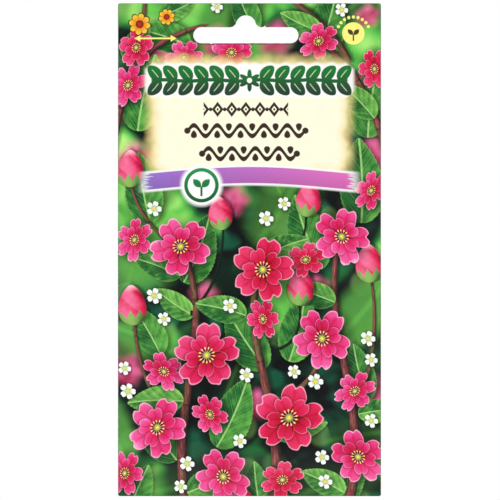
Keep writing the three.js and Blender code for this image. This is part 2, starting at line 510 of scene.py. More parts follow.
@dataclass(frozen=True)
class FoldedBlank:
    """The printed blank: front, back, glue flap and two end flaps, folded, with the slot punched."""

    size: PacketSize
    pouch: Pouch
    top_flap: float = 20.0
    bottom_flap: float = 12.0
    taper: float = 5.5
    glue_flap: float = 10.0
    seam_setback: float = 1.5
    seam_ease: float = 1.2
    seam_drape: float = 0.5  # how much later an end flap steps down over the seam
    side_fold: float = 0.15  # radius outside a side fold
    end_fold: float = 0.24  # radius outside the top and bottom folds
    flap_lift: float = 0.16
    cell: float = 0.8
    back_cell: float = 1.15
    fold_steps: int = 6

    def _islands(self) -> dict[Zone, BakeIsland]:
        """Where the zones lie in the bake map, the front largest.

        Returns:
            A place for every zone but the cut edges, which get cells of their own.
        """
        x, y = self.size.width / 2, self.size.height / 2
        back_end, low, high = x + self.size.width, 0.004, 0.996
        top_end, low_end, glue_end = y + self.top_flap + 1, y + self.bottom_flap + 1, x + self.glue_flap + 1
        return {
            Zone.FRONT: BakeIsland((-x - 0.3, -y - 0.3, x + 0.3, y + 0.3), (low, low, 0.596, high)),
            Zone.BACK: BakeIsland((x, -y, back_end, y), (0.604, low, 0.862, high)),
            Zone.TOP_FLAP: BakeIsland((-x, y, x, top_end), (0.868, 0.520, high, high), turned=True),
            Zone.BOTTOM_FLAP: BakeIsland((-x, -low_end, x, -y), (0.868, low, 0.944, 0.500), turned=True),
            Zone.GLUE_FLAP: BakeIsland((-glue_end, -y, -x, y), (0.950, low, 0.960, 0.500)),
            Zone.INSIDE_FRONT: BakeIsland((-glue_end, -low_end, x, top_end), (0.964, low, 0.972, 0.500)),
            Zone.INSIDE_BACK: BakeIsland((x, -y, back_end, y), (0.976, low, 0.984, 0.500)),
        }

    # stations on the blank

    def _stations(self, edge: float, close: Sequence[float]) -> Array:
        """Places from the packet's middle, even between the folds and closer together at them.

        Args:
            edge: how far out the last place is.
            close: how far in from the edge the close places are, then the first of the even ones.

        Returns:
            The places in order.
        """
        ends, inner = edge - np.array(close[:-1]), edge - close[-1]
        even = np.linspace(-inner, inner, int(2 * inner / self.cell) + 1)
        return np.concatenate([-ends, even, ends[::-1]])

    def _front_columns(self) -> Array:
        """Columns of the front, from the packet's middle."""
        return self._stations(self.size.width / 2 - self.side_fold, (0, 0.15, 0.35, 0.65, 1.05))

    def _rows(self) -> Array:
        """Rows of the front and back, from the packet's middle."""
        return self._stations(self.size.height / 2 - self.end_fold, (0, 0.12, 0.32, 0.62, 1.0))

    def _glue_columns(self) -> Array:
        """Columns of the glue flap, by x, from its free edge to the left fold."""
        return np.linspace(self.size.left + self.glue_flap, self.size.left + self.side_fold, 11)

    def _back_columns(self) -> Array:
        """Columns of the back, closer together where it steps over the glue flap.

        Returns:
            Their x, from the right fold to the free edge.
        """
        start, step = self.size.right - self.side_fold, self.size.left + self.glue_flap
        free, level = self.size.left + self.seam_setback, step + 2.0
        plain = np.linspace(start, level, int((start - level) / self.back_cell) + 1)
        stepped = np.array([1.5, 1.2, 0.9, 0.6, 0.3, 0.0, -0.4]) + step
        rest = np.linspace(step - 1.2, free + 0.4, 6)
        return np.concatenate([plain, stepped, rest, [free + 0.15, free]])

    # the layers' places

    def seam_layer(self, x: Array) -> Array:
        """How much of a layer the back stands out by, over the glue flap."""
        return 1 - ease((x - self.size.left - self.glue_flap) / self.seam_ease)

    def front_inner(self, x: Array, z: Array) -> Array:
        """The front panel's inner face."""
        return self.pouch.warp(x, z) - self.pouch.half_gap(x, z, self.pouch.front_puckers)

    def glue_inner(self, x: Array, z: Array) -> Array:
        """The glue flap's inner face."""
        return self.pouch.warp(x, z) + self.pouch.half_gap(x, z, self.pouch.back_puckers)

    def back_inner(self, x: Array, z: Array) -> Array:
        """The back panel's inner face."""
        return self.glue_inner(x, z) + self.seam_layer(x) * (self.size.paper + self.size.film)

    def flap_inner(self, x: Array, z: Array, reach: Array, length: float) -> Array:
        """An end flap's inner face, which lifts a little towards its free edge.

        Args:
            x, z: places across and up.
            reach: how far each place is from the flap's fold.
            length: the flap's length.

        Returns:
            The face's y at each place.
        """
        over = np.clip(x, self.size.left + self.seam_setback, None)
        wave = 0.65 + 0.35 * np.sin(0.17 * x + 0.8 * length)
        lift = self.flap_lift * wave * ease((reach - 0.45 * length) / (0.55 * length))
        layer = self.size.paper + self.size.film
        return self.glue_inner(over, z) + (1 + self.seam_layer(over - self.seam_drape)) * layer + lift

    def _point(self, x: Array, y: Array, z: Array) -> Array:
        """Places as one array, with the packet's corners rounded.

        Args:
            x, y, z: the places' parts.

        Returns:
            The places, each part's shape and then the three parts.
        """
        size, radius = self.size, self.size.corner_radius
        x, y, z = np.broadcast_arrays(x, y, z)
        across, up = x - size.middle_x, z - size.middle_z
        out_x = np.abs(across) - size.width / 2 + radius
        out_z = np.abs(up) - size.height / 2 + radius
        corner = (out_x > 0) & (out_z > 0)
        pull = np.where(corner, 1 - np.maximum(out_x, out_z) / np.maximum(np.hypot(out_x, out_z), 1e-9), 0)
        x, z = x - pull * out_x * np.sign(across), z - pull * out_z * np.sign(up)
        return np.stack([x, y, z], axis=-1)

    def _half_circles(self, near: Array, far: Array, count: int, radius: float) -> list[tuple[Array, Array]]:
        """The outer and the inner half circle of a fold that joins two layers.

        Args:
            near, far: the y of the layers' outer faces, at each place along the fold.
            count: how many places there are round the fold.
            radius: how far the fold reaches beyond the layers.

        Returns:
            For the outer and the inner face, the reach beyond the layers and the y, a row for each turn.
        """
        turn = np.linspace(0, math.pi, count + 2)[1:-1, None]
        middle, half = (near + far) / 2, (far - near) / 2
        return [
            ((radius - inside) * np.sin(turn), middle - (half - inside) * np.cos(turn))
            for inside in (0.0, self.size.paper)]

    def _side_fold(self, x: float, z: Array, way: int) -> list[Array]:
        """The inner columns of a side fold.

        Args:
            x: where the fold leaves the panels.
            z: the rows' heights.
            way: -1 for the left fold and 1 for the right.

        Returns:
            Outer and inner places, rows by columns, from the front round to the back.
        """
        near, far = self.front_inner(x, z) - self.size.paper, self.glue_inner(x, z) + self.size.paper
        circles = self._half_circles(near, far, self.fold_steps - 1, self.side_fold)
        return [self._point(x + way * reach.T, y.T, z[:, None]) for reach, y in circles]

    def _strip(self) -> tuple[Array, list[Zone], slice]:
        """Glue flap, front and back with the side folds between them.

        Returns:
            Rows and columns of outer place, inner place and place on the flat blank, eight numbers in
            all, then each cell column's zone and the columns that the front takes.
        """
        size, paper = self.size, self.size.paper
        rows = self._rows()[:, None]
        z = rows + size.middle_z
        glue_x, back_x = self._glue_columns(), self._back_columns()
        front_u = self._front_columns()
        front_x = front_u + size.middle_x
        half_w = size.width / 2
        glue_y, front_y = self.glue_inner(glue_x, z), self.front_inner(front_x, z)
        back_y = self.back_inner(back_x, z)
        left, right = (self._side_fold(front_x[k], z[:, 0], way) for k, way in ((0, -1), (-1, 1)))
        faces = [
            np.concatenate([
                self._point(glue_x, glue_y + out, z), left[k][:, ::-1],
                self._point(front_x, front_y - out, z), right[k],
                self._point(back_x, back_y + out, z)], axis=1)
            for k, out in enumerate((paper, 0.0))]
        fold = np.linspace(half_w - self.side_fold, half_w + self.side_fold, self.fold_steps + 1)[1:-1]
        across = np.concatenate([
            -half_w - (glue_x - size.left), -fold[::-1], front_u, fold, half_w + (size.right - back_x)])
        flat = np.stack(np.broadcast_arrays(across, rows), axis=-1)
        first, last = len(glue_x) - 1, len(across) - len(back_x)
        zones = [Zone.GLUE_FLAP] * first + [Zone.FRONT] * (last - first) + [Zone.BACK] * (len(back_x) - 1)
        start = first + self.fold_steps
        return np.concatenate([*faces, flat], axis=-1), zones, slice(start, start + len(front_u))

    def _flap(self, end: int) -> Array:
        """An end flap with its fold, from beyond the front's last row.

        Args:
            end: 1 for the top flap and -1 for the bottom one.

        Returns:
            Rows and columns of places, as for the strip.
        """
        size, paper = self.size, self.size.paper
        length, cut = (self.top_flap, 0.0) if end > 0 else (self.bottom_flap, self.taper)
        x = self._front_columns() + size.middle_x
        fold_z = size.middle_z + end * (size.height / 2 - self.end_fold)
        count = max(int(length / self.cell), 6)
        reach = np.concatenate([[0.0, 0.3], np.linspace(0.8, length - 0.35, count), [length - self.end_fold]])
        shrink = 1 - cut * np.clip(reach - 0.3, 0, None) / (length * (size.width / 2))
        flap_x = size.middle_x + (x - size.middle_x) * shrink[:, None]
        flap_z = np.broadcast_to((fold_z - end * reach)[:, None], flap_x.shape)
        flap_y = self.flap_inner(flap_x, flap_z, reach[:, None], length)
        near = self.front_inner(x, np.full_like(x, fold_z)) - paper
        turns = self.fold_steps + 1
        circles = self._half_circles(near, flap_y[0] + paper, turns, self.end_fold)
        faces = [
            np.concatenate([
                self._point(x, y, fold_z + end * over), self._point(flap_x, flap_y + out, flap_z)])
            for (over, y), out in zip(circles, (paper, 0.0))]
        round_fold = np.linspace(0, 2 * self.end_fold, turns + 2)[1:-1]
        steps = np.concatenate([round_fold, reach + 2 * self.end_fold])[:, None]
        up = end * (size.height / 2 - self.end_fold + steps)
        across = np.concatenate([np.broadcast_to(x, (turns, len(x))), flap_x]) - size.middle_x
        return np.concatenate([*faces, np.stack(np.broadcast_arrays(across, up), axis=-1)], axis=-1)

    # the mesh

    def build(self) -> Object:
        """Makes the closed sheet, folded, with its maps and material numbers.

        Returns:
            The packet, before its slot is punched.
        """
        strip, strip_zones, columns = self._strip()
        rows, width = strip.shape[:2]
        ids = np.arange(rows * width).reshape(rows, width)
        parts, cells, kinds = [strip], [quads(ids)], strip_zones * (rows - 1)
        for end, row, zone in ((1, -1, Zone.TOP_FLAP), (-1, 0, Zone.BOTTOM_FLAP)):
            flap = self._flap(end)
            start = sum(part.shape[0] * part.shape[1] for part in parts)
            new = start + np.arange(flap.shape[0] * flap.shape[1]).reshape(flap.shape[:2])
            grid = np.concatenate([ids[row, columns][None], new])[::end]
            of_fold = self.fold_steps + 2
            row_zones = [Zone.FRONT] * of_fold + [zone] * (len(flap) - of_fold)
            kinds += [kind for kind in row_zones[::end] for _ in range(grid.shape[1] - 1)]
            cells.append(quads(grid))
            parts.append(flap)
        points = np.concatenate([part.reshape(-1, 8) for part in parts])
        outer, inner, flat = points[:, :3], points[:, 3:6], points[:, 6:]
        cells = np.concatenate(cells)
        total = len(outer)
        rims = self._rims(cells, total)
        faces = np.concatenate([cells, cells[:, ::-1] + total, rims])
        mesh = bpy.data.meshes.new("folded_blank")
        mesh.from_pydata((np.concatenate([outer, inner]) * MM).tolist(), [], faces.tolist())
        under = [Zone.INSIDE_BACK if k is Zone.BACK else Zone.INSIDE_FRONT for k in kinds]
        all_zones = kinds + under + [Zone.CUT_EDGE] * len(rims)
        self._write_maps(mesh, np.concatenate([flat, flat])[faces], all_zones)
        return add_object("folded_blank", mesh)

    def _rims(self, cells: Array, total: int) -> Array:
        """The cut edges, from the outer face to the inner one.

        Args:
            cells: the outer faces.
            total: how many vertices each face of the sheet has.

        Returns:
            One quad for each free edge.
        """
        edges = np.concatenate([cells[:, [k, (k + 1) % 4]] for k in range(4)])
        key = edges.min(axis=1) * total + edges.max(axis=1)
        _, first, counts = np.unique(key, return_index=True, return_counts=True)
        free = edges[first[counts == 1]]
        start, end = free[:, 0], free[:, 1]
        return np.stack([end, start, start + total, end + total], axis=1)

    def _write_maps(self, mesh: Mesh, flat: Array, zones: Sequence[Zone]) -> None:
        """Writes both UV maps and the material numbers.

        Args:
            mesh: the blank's mesh.
            flat: each face's four places on the flat blank.
            zones: each face's zone.
        """
        bake = np.zeros_like(flat)
        kinds = np.array(zones)
        for zone, island in self._islands().items():
            chosen = kinds == zone
            bake[chosen] = island.place(flat[chosen].reshape(-1, 2)).reshape(-1, 4, 2)
        edge = np.flatnonzero(kinds == Zone.CUT_EDGE)
        bake[edge] = edge_cells(len(edge), *RIM_CELLS)
        for name, places in ((BAKE_MAP, bake), (SHEET_MAP, flat)):
            layer = mesh.uv_layers.new(name=name)
            layer.data.foreach_set("uv", places.reshape(-1).astype(np.float32))
        dress = {
            Zone.FRONT: Dress.FRONT_PRINT, Zone.TOP_FLAP: Dress.FRONT_PRINT,
            Zone.BOTTOM_FLAP: Dress.FRONT_PRINT, Zone.BACK: Dress.BACK_PRINT,
            Zone.CUT_EDGE: Dress.CUT_EDGE,
        }
        numbers = [dress.get(z, Dress.RAW_PAPER) for z in zones]
        mesh.polygons.foreach_set("material_index", np.array(numbers, dtype=np.int32))
        mesh.polygons.foreach_set("use_smooth", kinds != Zone.CUT_EDGE)


def quads(ids: Array) -> Array:
    """Cells of a grid of vertex numbers, facing out."""
    return np.stack([ids[:-1, :-1], ids[:-1, 1:], ids[1:, 1:], ids[1:, :-1]], axis=-1).reshape(-1, 4)


def edge_cells(count: int, low: float, high: float) -> Array:
    """Small square places in the bake map for the faces of cut edges, one above the other.

    Args:
        count: how many faces there are.
        low, high: where the first starts and the last ends, up the map.

    Returns:
        Four places for each face.
    """
    left, right, step = 0.988, 0.996, (high - low) / max(count, 1)
    cell = np.array([[left, 0.0], [right, 0.0], [right, step], [left, step]])
    return cell + np.stack([np.zeros(count), low + step * np.arange(count)], axis=-1)[:, None]


@dataclass(frozen=True)
class SlotPunch:
    """The hang slot: a round-ended slot with a round crown, cut by a punch that has seen wear."""

    width: float = 32.0
    height: float = 4.9
    crown_radius: float = 3.05
    crown_height: float = 3.6
    fillet: float = 2.0
    steps: int = 18
    ragged: float = 0.018
    reach: float = 4.0  # how far the punch goes to each side of mid thickness
    clear: float = 0.7  # how far round the slot nothing else is cut
    burr: tuple[float, float] = (5.6, 0.55)  # where a sliver of paper stands up, and how tall
    nick: tuple[float, float] = (-10.4, 0.22)  # where the lower edge is torn, and how deep

    @property
    def top(self) -> float:
        """Height of the slot's straight top line."""
        return -self.crown_height

    def _arc(self, x: float, z: float, radius: float, start: float, end: float) -> list[list[float]]:
        """Points on an arc, from a start angle to an end angle."""
        turns = np.linspace(start, end, self.steps + 1)
        return [[x + radius * math.cos(a), z + radius * math.sin(a)] for a in turns]

    def outline(self) -> Array:
        """The slot's outline, with its burr and nick.

        Returns:
            Points across and up, counter-clockwise.
        """
        end_radius = self.height / 2
        end_x, end_z = self.width / 2 - end_radius, self.top - end_radius
        reach = self.crown_radius + self.fillet
        fillet_z = self.top + self.fillet
        rise = fillet_z + self.crown_radius  # of the fillets' centres above the crown's
        fillet_x = math.sqrt(reach**2 - rise**2)
        lean = math.asin(rise / reach)
        quarter = math.pi / 2
        burr_x, burr_rise = self.burr
        nick_x, nick_depth = self.nick
        low = self.top - self.height
        points = [[x, low] for x in np.linspace(-end_x, nick_x - 0.5, 8)[1:]]
        points += [[nick_x - 0.12, low - nick_depth], [nick_x + 0.2, low - 0.3 * nick_depth]]
        points += [[x, low] for x in np.linspace(nick_x + 0.5, end_x, 30)[:-1]]
        points += self._arc(end_x, end_z, end_radius, -quarter, quarter)
        points += [[x, self.top] for x in np.linspace(end_x, burr_x + 0.4, 12)[1:]]
        points += [[burr_x + 0.12, self.top + burr_rise], [burr_x - 0.02, self.top + 0.3 * burr_rise]]
        points += self._arc(fillet_x, fillet_z, self.fillet, -quarter, lean - 2 * quarter)[1:]
        points += self._arc(0.0, -self.crown_radius, self.crown_radius, lean, math.pi - lean)[1:]
        points += self._arc(-fillet_x, fillet_z, self.fillet, -lean, -quarter)[1:]
        points += [[x, self.top] for x in np.linspace(-fillet_x, -end_x, 12)[1:]]
        points += self._arc(-end_x, end_z, end_radius, quarter, 3 * quarter)[1:]
        draw = np.random.default_rng(7)
        line = np.array(points)
        return line + draw.normal(0, self.ragged, line.shape)

    def cut(self, packet: Object) -> None:
        """Punches the slot through all the packet's layers.

        Args:
            packet: the folded blank.
        """
        line = self.outline()
        count = len(line)
        points = [(x * MM, y * MM, z * MM) for y in (-self.reach, self.reach) for x, z in line]
        sides = [(count + k, count + (k + 1) % count, (k + 1) % count, k) for k in range(count)]
        caps = [range(count), range(2 * count - 1, count - 1, -1)]
        mesh = bpy.data.meshes.new("slot_punch")
        mesh.from_pydata(points, [], sides + caps)
        mesh.materials.append(packet.data.materials[Dress.CUT_EDGE])
        for name in (BAKE_MAP, SHEET_MAP):
            mesh.uv_layers.new(name=name)
        punch = add_object("slot_punch", mesh)
        cut = packet.modifiers.new("slot", "BOOLEAN")
        cut.operation = "DIFFERENCE"
        cut.solver = "EXACT"
        cut.material_mode = "TRANSFER"
        cut.object = punch
        bpy.context.view_layer.objects.active = packet
        bpy.ops.object.modifier_apply(modifier=cut.name)
        bpy.data.objects.remove(punch)
        self._place_walls(packet.data)

    def _place_walls(self, mesh: Mesh) -> None:
        """Gives the slot's walls their own places in the bake map.

        Args:
            mesh: the punched packet's mesh.
        """
        half_x, low = (self.width / 2 + self.clear) * MM, (self.top - self.height - self.clear) * MM
        walls = [
            face for face in mesh.polygons
            if face.material_index == Dress.CUT_EDGE
            and low < face.center.z < self.clear * MM and abs(face.center.x) < half_x]
        for face, cell in zip(walls, edge_cells(len(walls), *WALL_CELLS)):
            face.use_smooth = False
            for k, corner in enumerate(face.loop_indices):
                mesh.uv_layers[BAKE_MAP].data[corner].uv = cell[k % 4]


# ---- where the stamps go


@dataclass(frozen=True)
class Motif:
    """One printed flower, at its place on the flat blank."""

    across: float
    up: float
    size: float  # a flower's radius, or a leaf's length
    turn: float  # degrees
    squash: float  # how much it is foreshortened
    lean: float  # direction it is foreshortened in, degrees
    tone: float
    margin: float  # how far its shade reaches past it, as a share of its size

    def _turned(self, flat: Array, degrees: float) -> tuple[Array, Array]:
        """Places from the motif's own place, as shares of its size, turned clockwise."""
        away = (flat - np.array([self.across, self.up])) / self.size
        return turned(away[:, 0], away[:, 1], math.radians(degrees))

    def _toned(self, u: Array, v: Array) -> Array:
        """Two coordinates as one array, with the motif's tone as the third."""
        return np.stack([u, v, np.full(len(u), self.tone)], axis=-1)

    def local(self, flat: Array) -> Array:
        """Two coordinates in the motif's own frame and its tone, for places on the blank."""
        along, aside = self._turned(flat, self.lean)
        return self._toned(*turned(along, aside / self.squash, -math.radians(self.turn)))

    def outside(self, local: Array) -> Array:
        """How far places in its own frame lie outside the motif, as a share of its size."""
        return np.hypot(local[:, 0], local[:, 1]) - 1


@dataclass(frozen=True)
class LongMotif(Motif):
    """A leaf or bud: its base is its place, and turn swings its tip clockwise from straight up."""

    bend: float

    def local(self, flat: Array) -> Array:
        """Places across and along the motif's bent middle line and its tone, for places on the blank."""
        aside, along = self._turned(flat, -self.turn)
        return self._toned((aside - self.bend * along * np.abs(along)) / self.squash, along)

    def outside(self, local: Array) -> Array:
        """How far places in its own frame lie outside its middle part, as a share of its length."""
        beyond = np.maximum(np.maximum(-local[:, 1], local[:, 1] - 1), 0)
        return np.hypot(np.maximum(np.abs(local[:, 0]) - 0.25, 0), beyond) - 0.01


def long_motifs(rows: Rows) -> list[Motif]:
    """Leaves or buds from rows of a table."""
    return [LongMotif(x, y, size, turn, 1, 0, tone, 0.16, bend) for x, y, size, turn, tone, bend in rows]


@dataclass(frozen=True)
class Stem:
    """A printed stem along a smooth curve, thinner towards its end."""

    points: tuple[tuple[float, float], ...]
    width: float
    end_width: float
    tone: float
    margin: float = 1.0  # how far its shade reaches past it, in half widths

    def _line(self) -> Array:
        """The Bezier curve of the control points.

        Returns:
            Close points along it.
        """
        share = np.linspace(0, 1, 90)[:, None]
        layer = [np.array(p, dtype=float)[None, :] * np.ones_like(share) for p in self.points]
        while len(layer) > 1:
            layer = [a * (1 - share) + b * share for a, b in zip(layer, layer[1:])]
        return layer[0]

    def local(self, flat: Array) -> Array:
        """Places across and along the stem.

        Args:
            flat: places on the blank.

        Returns:
            Half widths to the right of its middle, tens of millimetres along it, and the tone.
        """
        line = self._line()
        steps = np.diff(line, axis=0)
        lengths = np.hypot(steps[:, 0], steps[:, 1])
        run = np.concatenate([[0], np.cumsum(lengths)])
        best = np.full(len(flat), np.inf)
        aside, along = np.zeros(len(flat)), np.zeros(len(flat))
        for begun, point, step, length in zip(run, line, steps, lengths):
            away = flat - point
            share = np.clip((away @ step) / length**2, 0, 1)
            far = np.hypot(*(away - share[:, None] * step).T)
            nearer = far < best
            best[nearer] = far[nearer]
            aside[nearer] = (far * np.sign(step[1] * away[:, 0] - step[0] * away[:, 1]))[nearer]
            along[nearer] = (begun + share * length)[nearer]
        share = along / run[-1]
        half = (self.width * (1 - share) + self.end_width * share) / 2
        return np.stack([aside / half, along / 10, np.full(len(flat), self.tone)], axis=-1)

    def outside(self, local: Array) -> Array:
        """How many half widths places lie outside the stem."""
        return np.abs(local[:, 0]) - 1


@dataclass
class StampWriter:
    """Writes stamp layers onto the punched packet's mesh."""

    mesh: Mesh

    def __post_init__(self) -> None:
        """Reads each corner's place on the flat blank and each face's middle."""
        corners = len(self.mesh.loops)
        flat = np.zeros(corners * 2, dtype=np.float32)
        self.mesh.uv_layers[SHEET_MAP].data.foreach_get("uv", flat)
        self.flat = flat.reshape(-1, 2).astype(float)
        count = len(self.mesh.polygons)
        sizes, dress = np.zeros(count, dtype=np.int32), np.zeros(count, dtype=np.int32)
        self.mesh.polygons.foreach_get("loop_total", sizes)
        self.mesh.polygons.foreach_get("material_index", dress)
        self.face_of = np.repeat(np.arange(count), sizes)
        self.middles = np.stack(
            [np.bincount(self.face_of, self.flat[:, k], count) / sizes for k in (0, 1)], axis=-1)
        self.printed = dress <= Dress.BACK_PRINT

    def write(self, layer: Layer, motifs: Sequence[Motif | Stem]) -> None:
        """Gives every face the nearest motif's own coordinates, or a far-off place.

        Args:
            layer: the layer to write.
            motifs: what is printed in it.
        """
        owner = np.full(len(self.middles), -1)
        best = np.full(len(self.middles), np.inf)
        for number, motif in enumerate(motifs):
            far = motif.outside(motif.local(self.middles))
            reached = (far < motif.margin) & self.printed
            nearer = reached & (far < best)
            owner[nearer], best[nearer] = number, far[nearer]
        LOG.info("%s: %d motifs", layer.value, len(motifs))
        values = np.tile(np.array([NOWHERE, NOWHERE, 0.0]), (len(self.flat), 1))
        corner_owner = owner[self.face_of]
        for number, motif in enumerate(motifs):
            mine = corner_owner == number
            if mine.any():
                values[mine] = motif.local(self.flat[mine])
        made = self.mesh.attributes.new(layer.value, "FLOAT_VECTOR", "CORNER")
        made.data.foreach_set("vector", values.reshape(-1).astype(np.float32))


BACK_MIDDLE = PacketSize.width  # across the flat blank, from the front's middle to the back's


@dataclass(frozen=True)
class Bouquet:
    """Everything stamped on the blank, by layer.

    Places are in millimetres from the front's middle, and the back's middle is 80 across.
    """

    # soft blossoms behind the sharp ones: across, up, radius and tone
    far_blossoms: Rows = (
        (-35, 27, 8, 0.2), (37, 29, 7.5, 0.5), (-5, 15, 6.5, 0.7), (37, -44, 8, 0.3),
        (-37, -37, 7, 0.8), (2, -47, 6.5, 0.4), (-14, -14, 6, 0.6), (20, -12, 6, 0.2),
        (8, 64, 7.5, 0.5), (-10, 63, 7, 0.3), (35, 50, 6.5, 0.7), (-37, 44, 7.5, 0.4),
        (36, 71, 5, 0.2), (-27, 61, 7.5, 0.7),
    )
    # leaves behind and in front of the stems, and buds: across, up, length, turn, tone and bend
    low_leaves: Rows = (
        (-22, -64, 22, -40, 0.35, 0.16), (-10, -60, 23, 32, 0.6, -0.14), (5, -36, 22, -40, 0.45, 0.12),
        (12, -34, 22, 20, 0.7, -0.12), (36, -46, 18, -20, 0.4, 0.1), (-27, -32, 18, -24, 0.65, -0.12),
        (-20, -10, 22, 30, 0.3, -0.16), (22, -6, 24, -28, 0.55, 0.14), (22, -82, 20, 34, 0.5, 0.12),
        (-30, 8, 22, -16, 0.6, 0.1), (34, 8, 26, 4, 0.4, -0.1), (4, -82, 18, -14, 0.5, 0.1),
        (-34, 36, 24, 6, 0.7, 0.12), (20, 58, 22, 24, 0.55, -0.12), (-18, 62, 18, -66, 0.45, -0.12),
        (36, 34, 24, 2, 0.6, 0.12), (-38, -84, 20, 16, 0.5, 0.1), (2, 66, 16, -30, 0.5, 0.12),
        (53, -54, 22, 8, 0.5, 0.12), (104, -56, 22, 4, 0.6, -0.12), (76, -56, 18, -50, 0.35, -0.12),
        (83, -40, 19, 48, 0.35, -0.12),
    )
    high_leaves: Rows = (
        (-20, -46, 17, -84, 0.75, -0.14), (7, -56, 17, 70, 0.8, 0.14), (-1, -20, 16, -70, 0.6, -0.12),
        (33, -50, 14, 78, 0.7, 0.1), (-17, -20, 14, -62, 0.85, 0.12), (26, -16, 15, -66, 0.5, -0.12),
        (4, -2, 15, 62, 0.7, 0.12), (-21, -8, 15, -62, 0.55, -0.12), (-19, -74, 18, 66, 0.5, 0.12),
        (29, -74, 15, -58, 0.8, -0.1), (38, 40, 15, -38, 0.65, -0.12), (-38, 58, 13, 30, 0.75, 0.12),
        (22, 66, 14, -70, 0.8, 0.1), (-27, 71, 12, 70, 0.6, -0.1),
        (81, -50, 14, -64, 0.7, 0.12), (79, -40, 13, 60, 0.5, -0.12),
    )
    buds: Rows = (
        (-35, -23, 12.5, -8, 0.3, 0.05), (15, -17, 11.5, 8, 0.7, -0.05), (37, -10, 12, -8, 0.5, 0.05),
        (-36, 19, 11.5, -4, 0.6, 0.05), (17, 10, 11, 12, 0.4, -0.05), (-8, 6, 10.5, -12, 0.8, 0.05),
        (-1, -82, 11, -14, 0.5, 0),
        (95, -38, 10.5, 12, 0.5, 0), (64, -36, 10, -12, 0.3, 0),
    )
    # stems, side shoots and thin stalks: points, both widths and tone, near 1 for a dark green stalk
    stems: Sequence[tuple] = (
        (((-18, -84), (-27, -48), (-8, -26), (-21, 2)), 3.4, 1.8, 0.2),
        (((5, -84), (16, -52), (-6, -28), (4, -4)), 3.6, 2, 0.35),
        (((28, -84), (41, -50), (19, -24), (28, 5)), 3.2, 1.8, 0.1),
        (((-20, -54), (-30, -46), (-34, -36), (-35, -22)), 1.8, 0.9, 0.5),
        (((8, -46), (18, -42), (22, -36), (22, -27)), 2, 1.2, 0.3),
        (((34, -44), (38, -34), (39, -20), (37, -9)), 1.6, 0.8, 0.4),
        (((-19, -4), (-28, 6), (-34, 10), (-36, 20)), 1.5, 0.8, 0.45),
        (((9, -30), (15, -28), (16, -22), (15, -16)), 0.9, 0.6, 0.95),
        (((6, -8), (14, -2), (18, 4), (17, 11)), 0.9, 0.6, 0.95),
        (((-15, -16), (-10, -10), (-8, -2), (-8, 7)), 0.9, 0.6, 0.95),
        (((44, 18), (40, 44), (30, 60), (20, 63)), 2.8, 1.6, 0.3),
        (((30, 58), (24, 70), (12, 76), (2, 84)), 2.2, 1.6, 0.5),
        (((-44, 22), (-38, 44), (-40, 62), (-14, 68)), 2.8, 1.4, 0.15),
        (((-37, 52), (-30, 60), (-34, 72), (-30, 84)), 1.8, 1.2, 0.6),
        (((78, -58), (85, -46), (74, -38), (80, -28)), 2.4, 1.4, 0.3),
        (((81, -48), (89, -46), (94, -42), (95, -37)), 1.3, 0.7, 0.95),
        (((79, -44), (72, -42), (66, -40), (64, -35)), 1.3, 0.7, 0.95),
    )
    # open blossoms, behind others and in front: across, up, radius, turn, squash, lean and tone
    low_blossoms: Rows = (
        (-35, 3, 7.2, 10, 0.78, 70, 0.7), (17, -3, 6.8, 30, 0.8, 20, 0.3),
        (37, 18, 6.8, 50, 0.72, 60, 0.5), (-26, -37, 7.2, 20, 0.8, 150, 0.6),
        (4, -21, 6.6, 65, 0.78, 100, 0.4), (32, -43, 7.2, 0, 0.8, 40, 0.7),
        (-12, -50, 6.8, 35, 0.8, 120, 0.5), (10, -70, 7.2, 15, 0.85, 10, 0.3),
        (-38, -68, 7.4, 55, 0.8, 80, 0.6), (21, 63.5, 6.8, 20, 0.82, 30, 0.5),
        (-37, 50, 7.2, 20, 0.8, 60, 0.8), (38, 55, 6.5, 0, 0.8, 90, 0.3),
        (-20, 58.5, 6.4, 0, 0.85, 30, 0.7),
        (91, -48, 7, 10, 0.85, 40, 0.6),
    )
    high_blossoms: Rows = (
        (-21, 1, 10, 8, 0.92, 20, 0.62), (4, -6, 10.4, 40, 0.96, 80, 0.25),
        (28, 4, 9.6, 22, 0.9, 130, 0.85), (-13, -32, 10.8, 60, 0.94, 40, 0.4),
        (22, -27, 10, 12, 0.92, 100, 0.7), (-28, -54, 10, 30, 0.9, 60, 0.9),
        (12, -51, 11.2, 50, 0.95, 20, 0.15), (33, -63, 9.4, 5, 0.86, 140, 0.6),
        (-8, -69, 9.6, 25, 0.9, 110, 0.75), (-34.5, 61.5, 6.4, 15, 0.86, 70, 0.4),
        (-5.5, 60, 6.8, 50, 0.9, 20, 0.55),
        (80, -28, 8.5, 15, 0.95, 30, 0.45), (67, -50, 7.5, 40, 0.85, 120, 0.6),
    )
    # tiny white flowers in the gaps: across, up and radius
    stars: Rows = (
        (-29, -14, 2.7), (-26, -21, 2.3), (-6, -17, 2.5), (-38, -36, 2.3), (-37, -43, 2.7),
        (-1, -38, 2.5), (20, -40, 2.7), (13.5, -37, 2.3), (36, -27, 2.6), (37, -33.5, 2.3),
        (-19, -65, 2.6), (-21, -72, 2.3), (22, -63, 2.5), (23, -70.5, 2.5), (5, 9.5, 2.6),
        (10.5, 14, 2.3), (-29, 12.5, 2.6), (37, -52, 2.4), (-10, 74, 2.2), (28, 73, 2.3),
        (-3, -58, 2.4),
        (85, -53, 2.3), (73, -32, 2.3), (88, -37, 2.1),
    )
    # small drawn flowers in the header: across, up, radius, turn and tone
    daisies: Rows = ((-33.4, 68.6, 3.5, 10, 0.4), (-25.2, 70.8, 2.6, 30, 0.6))

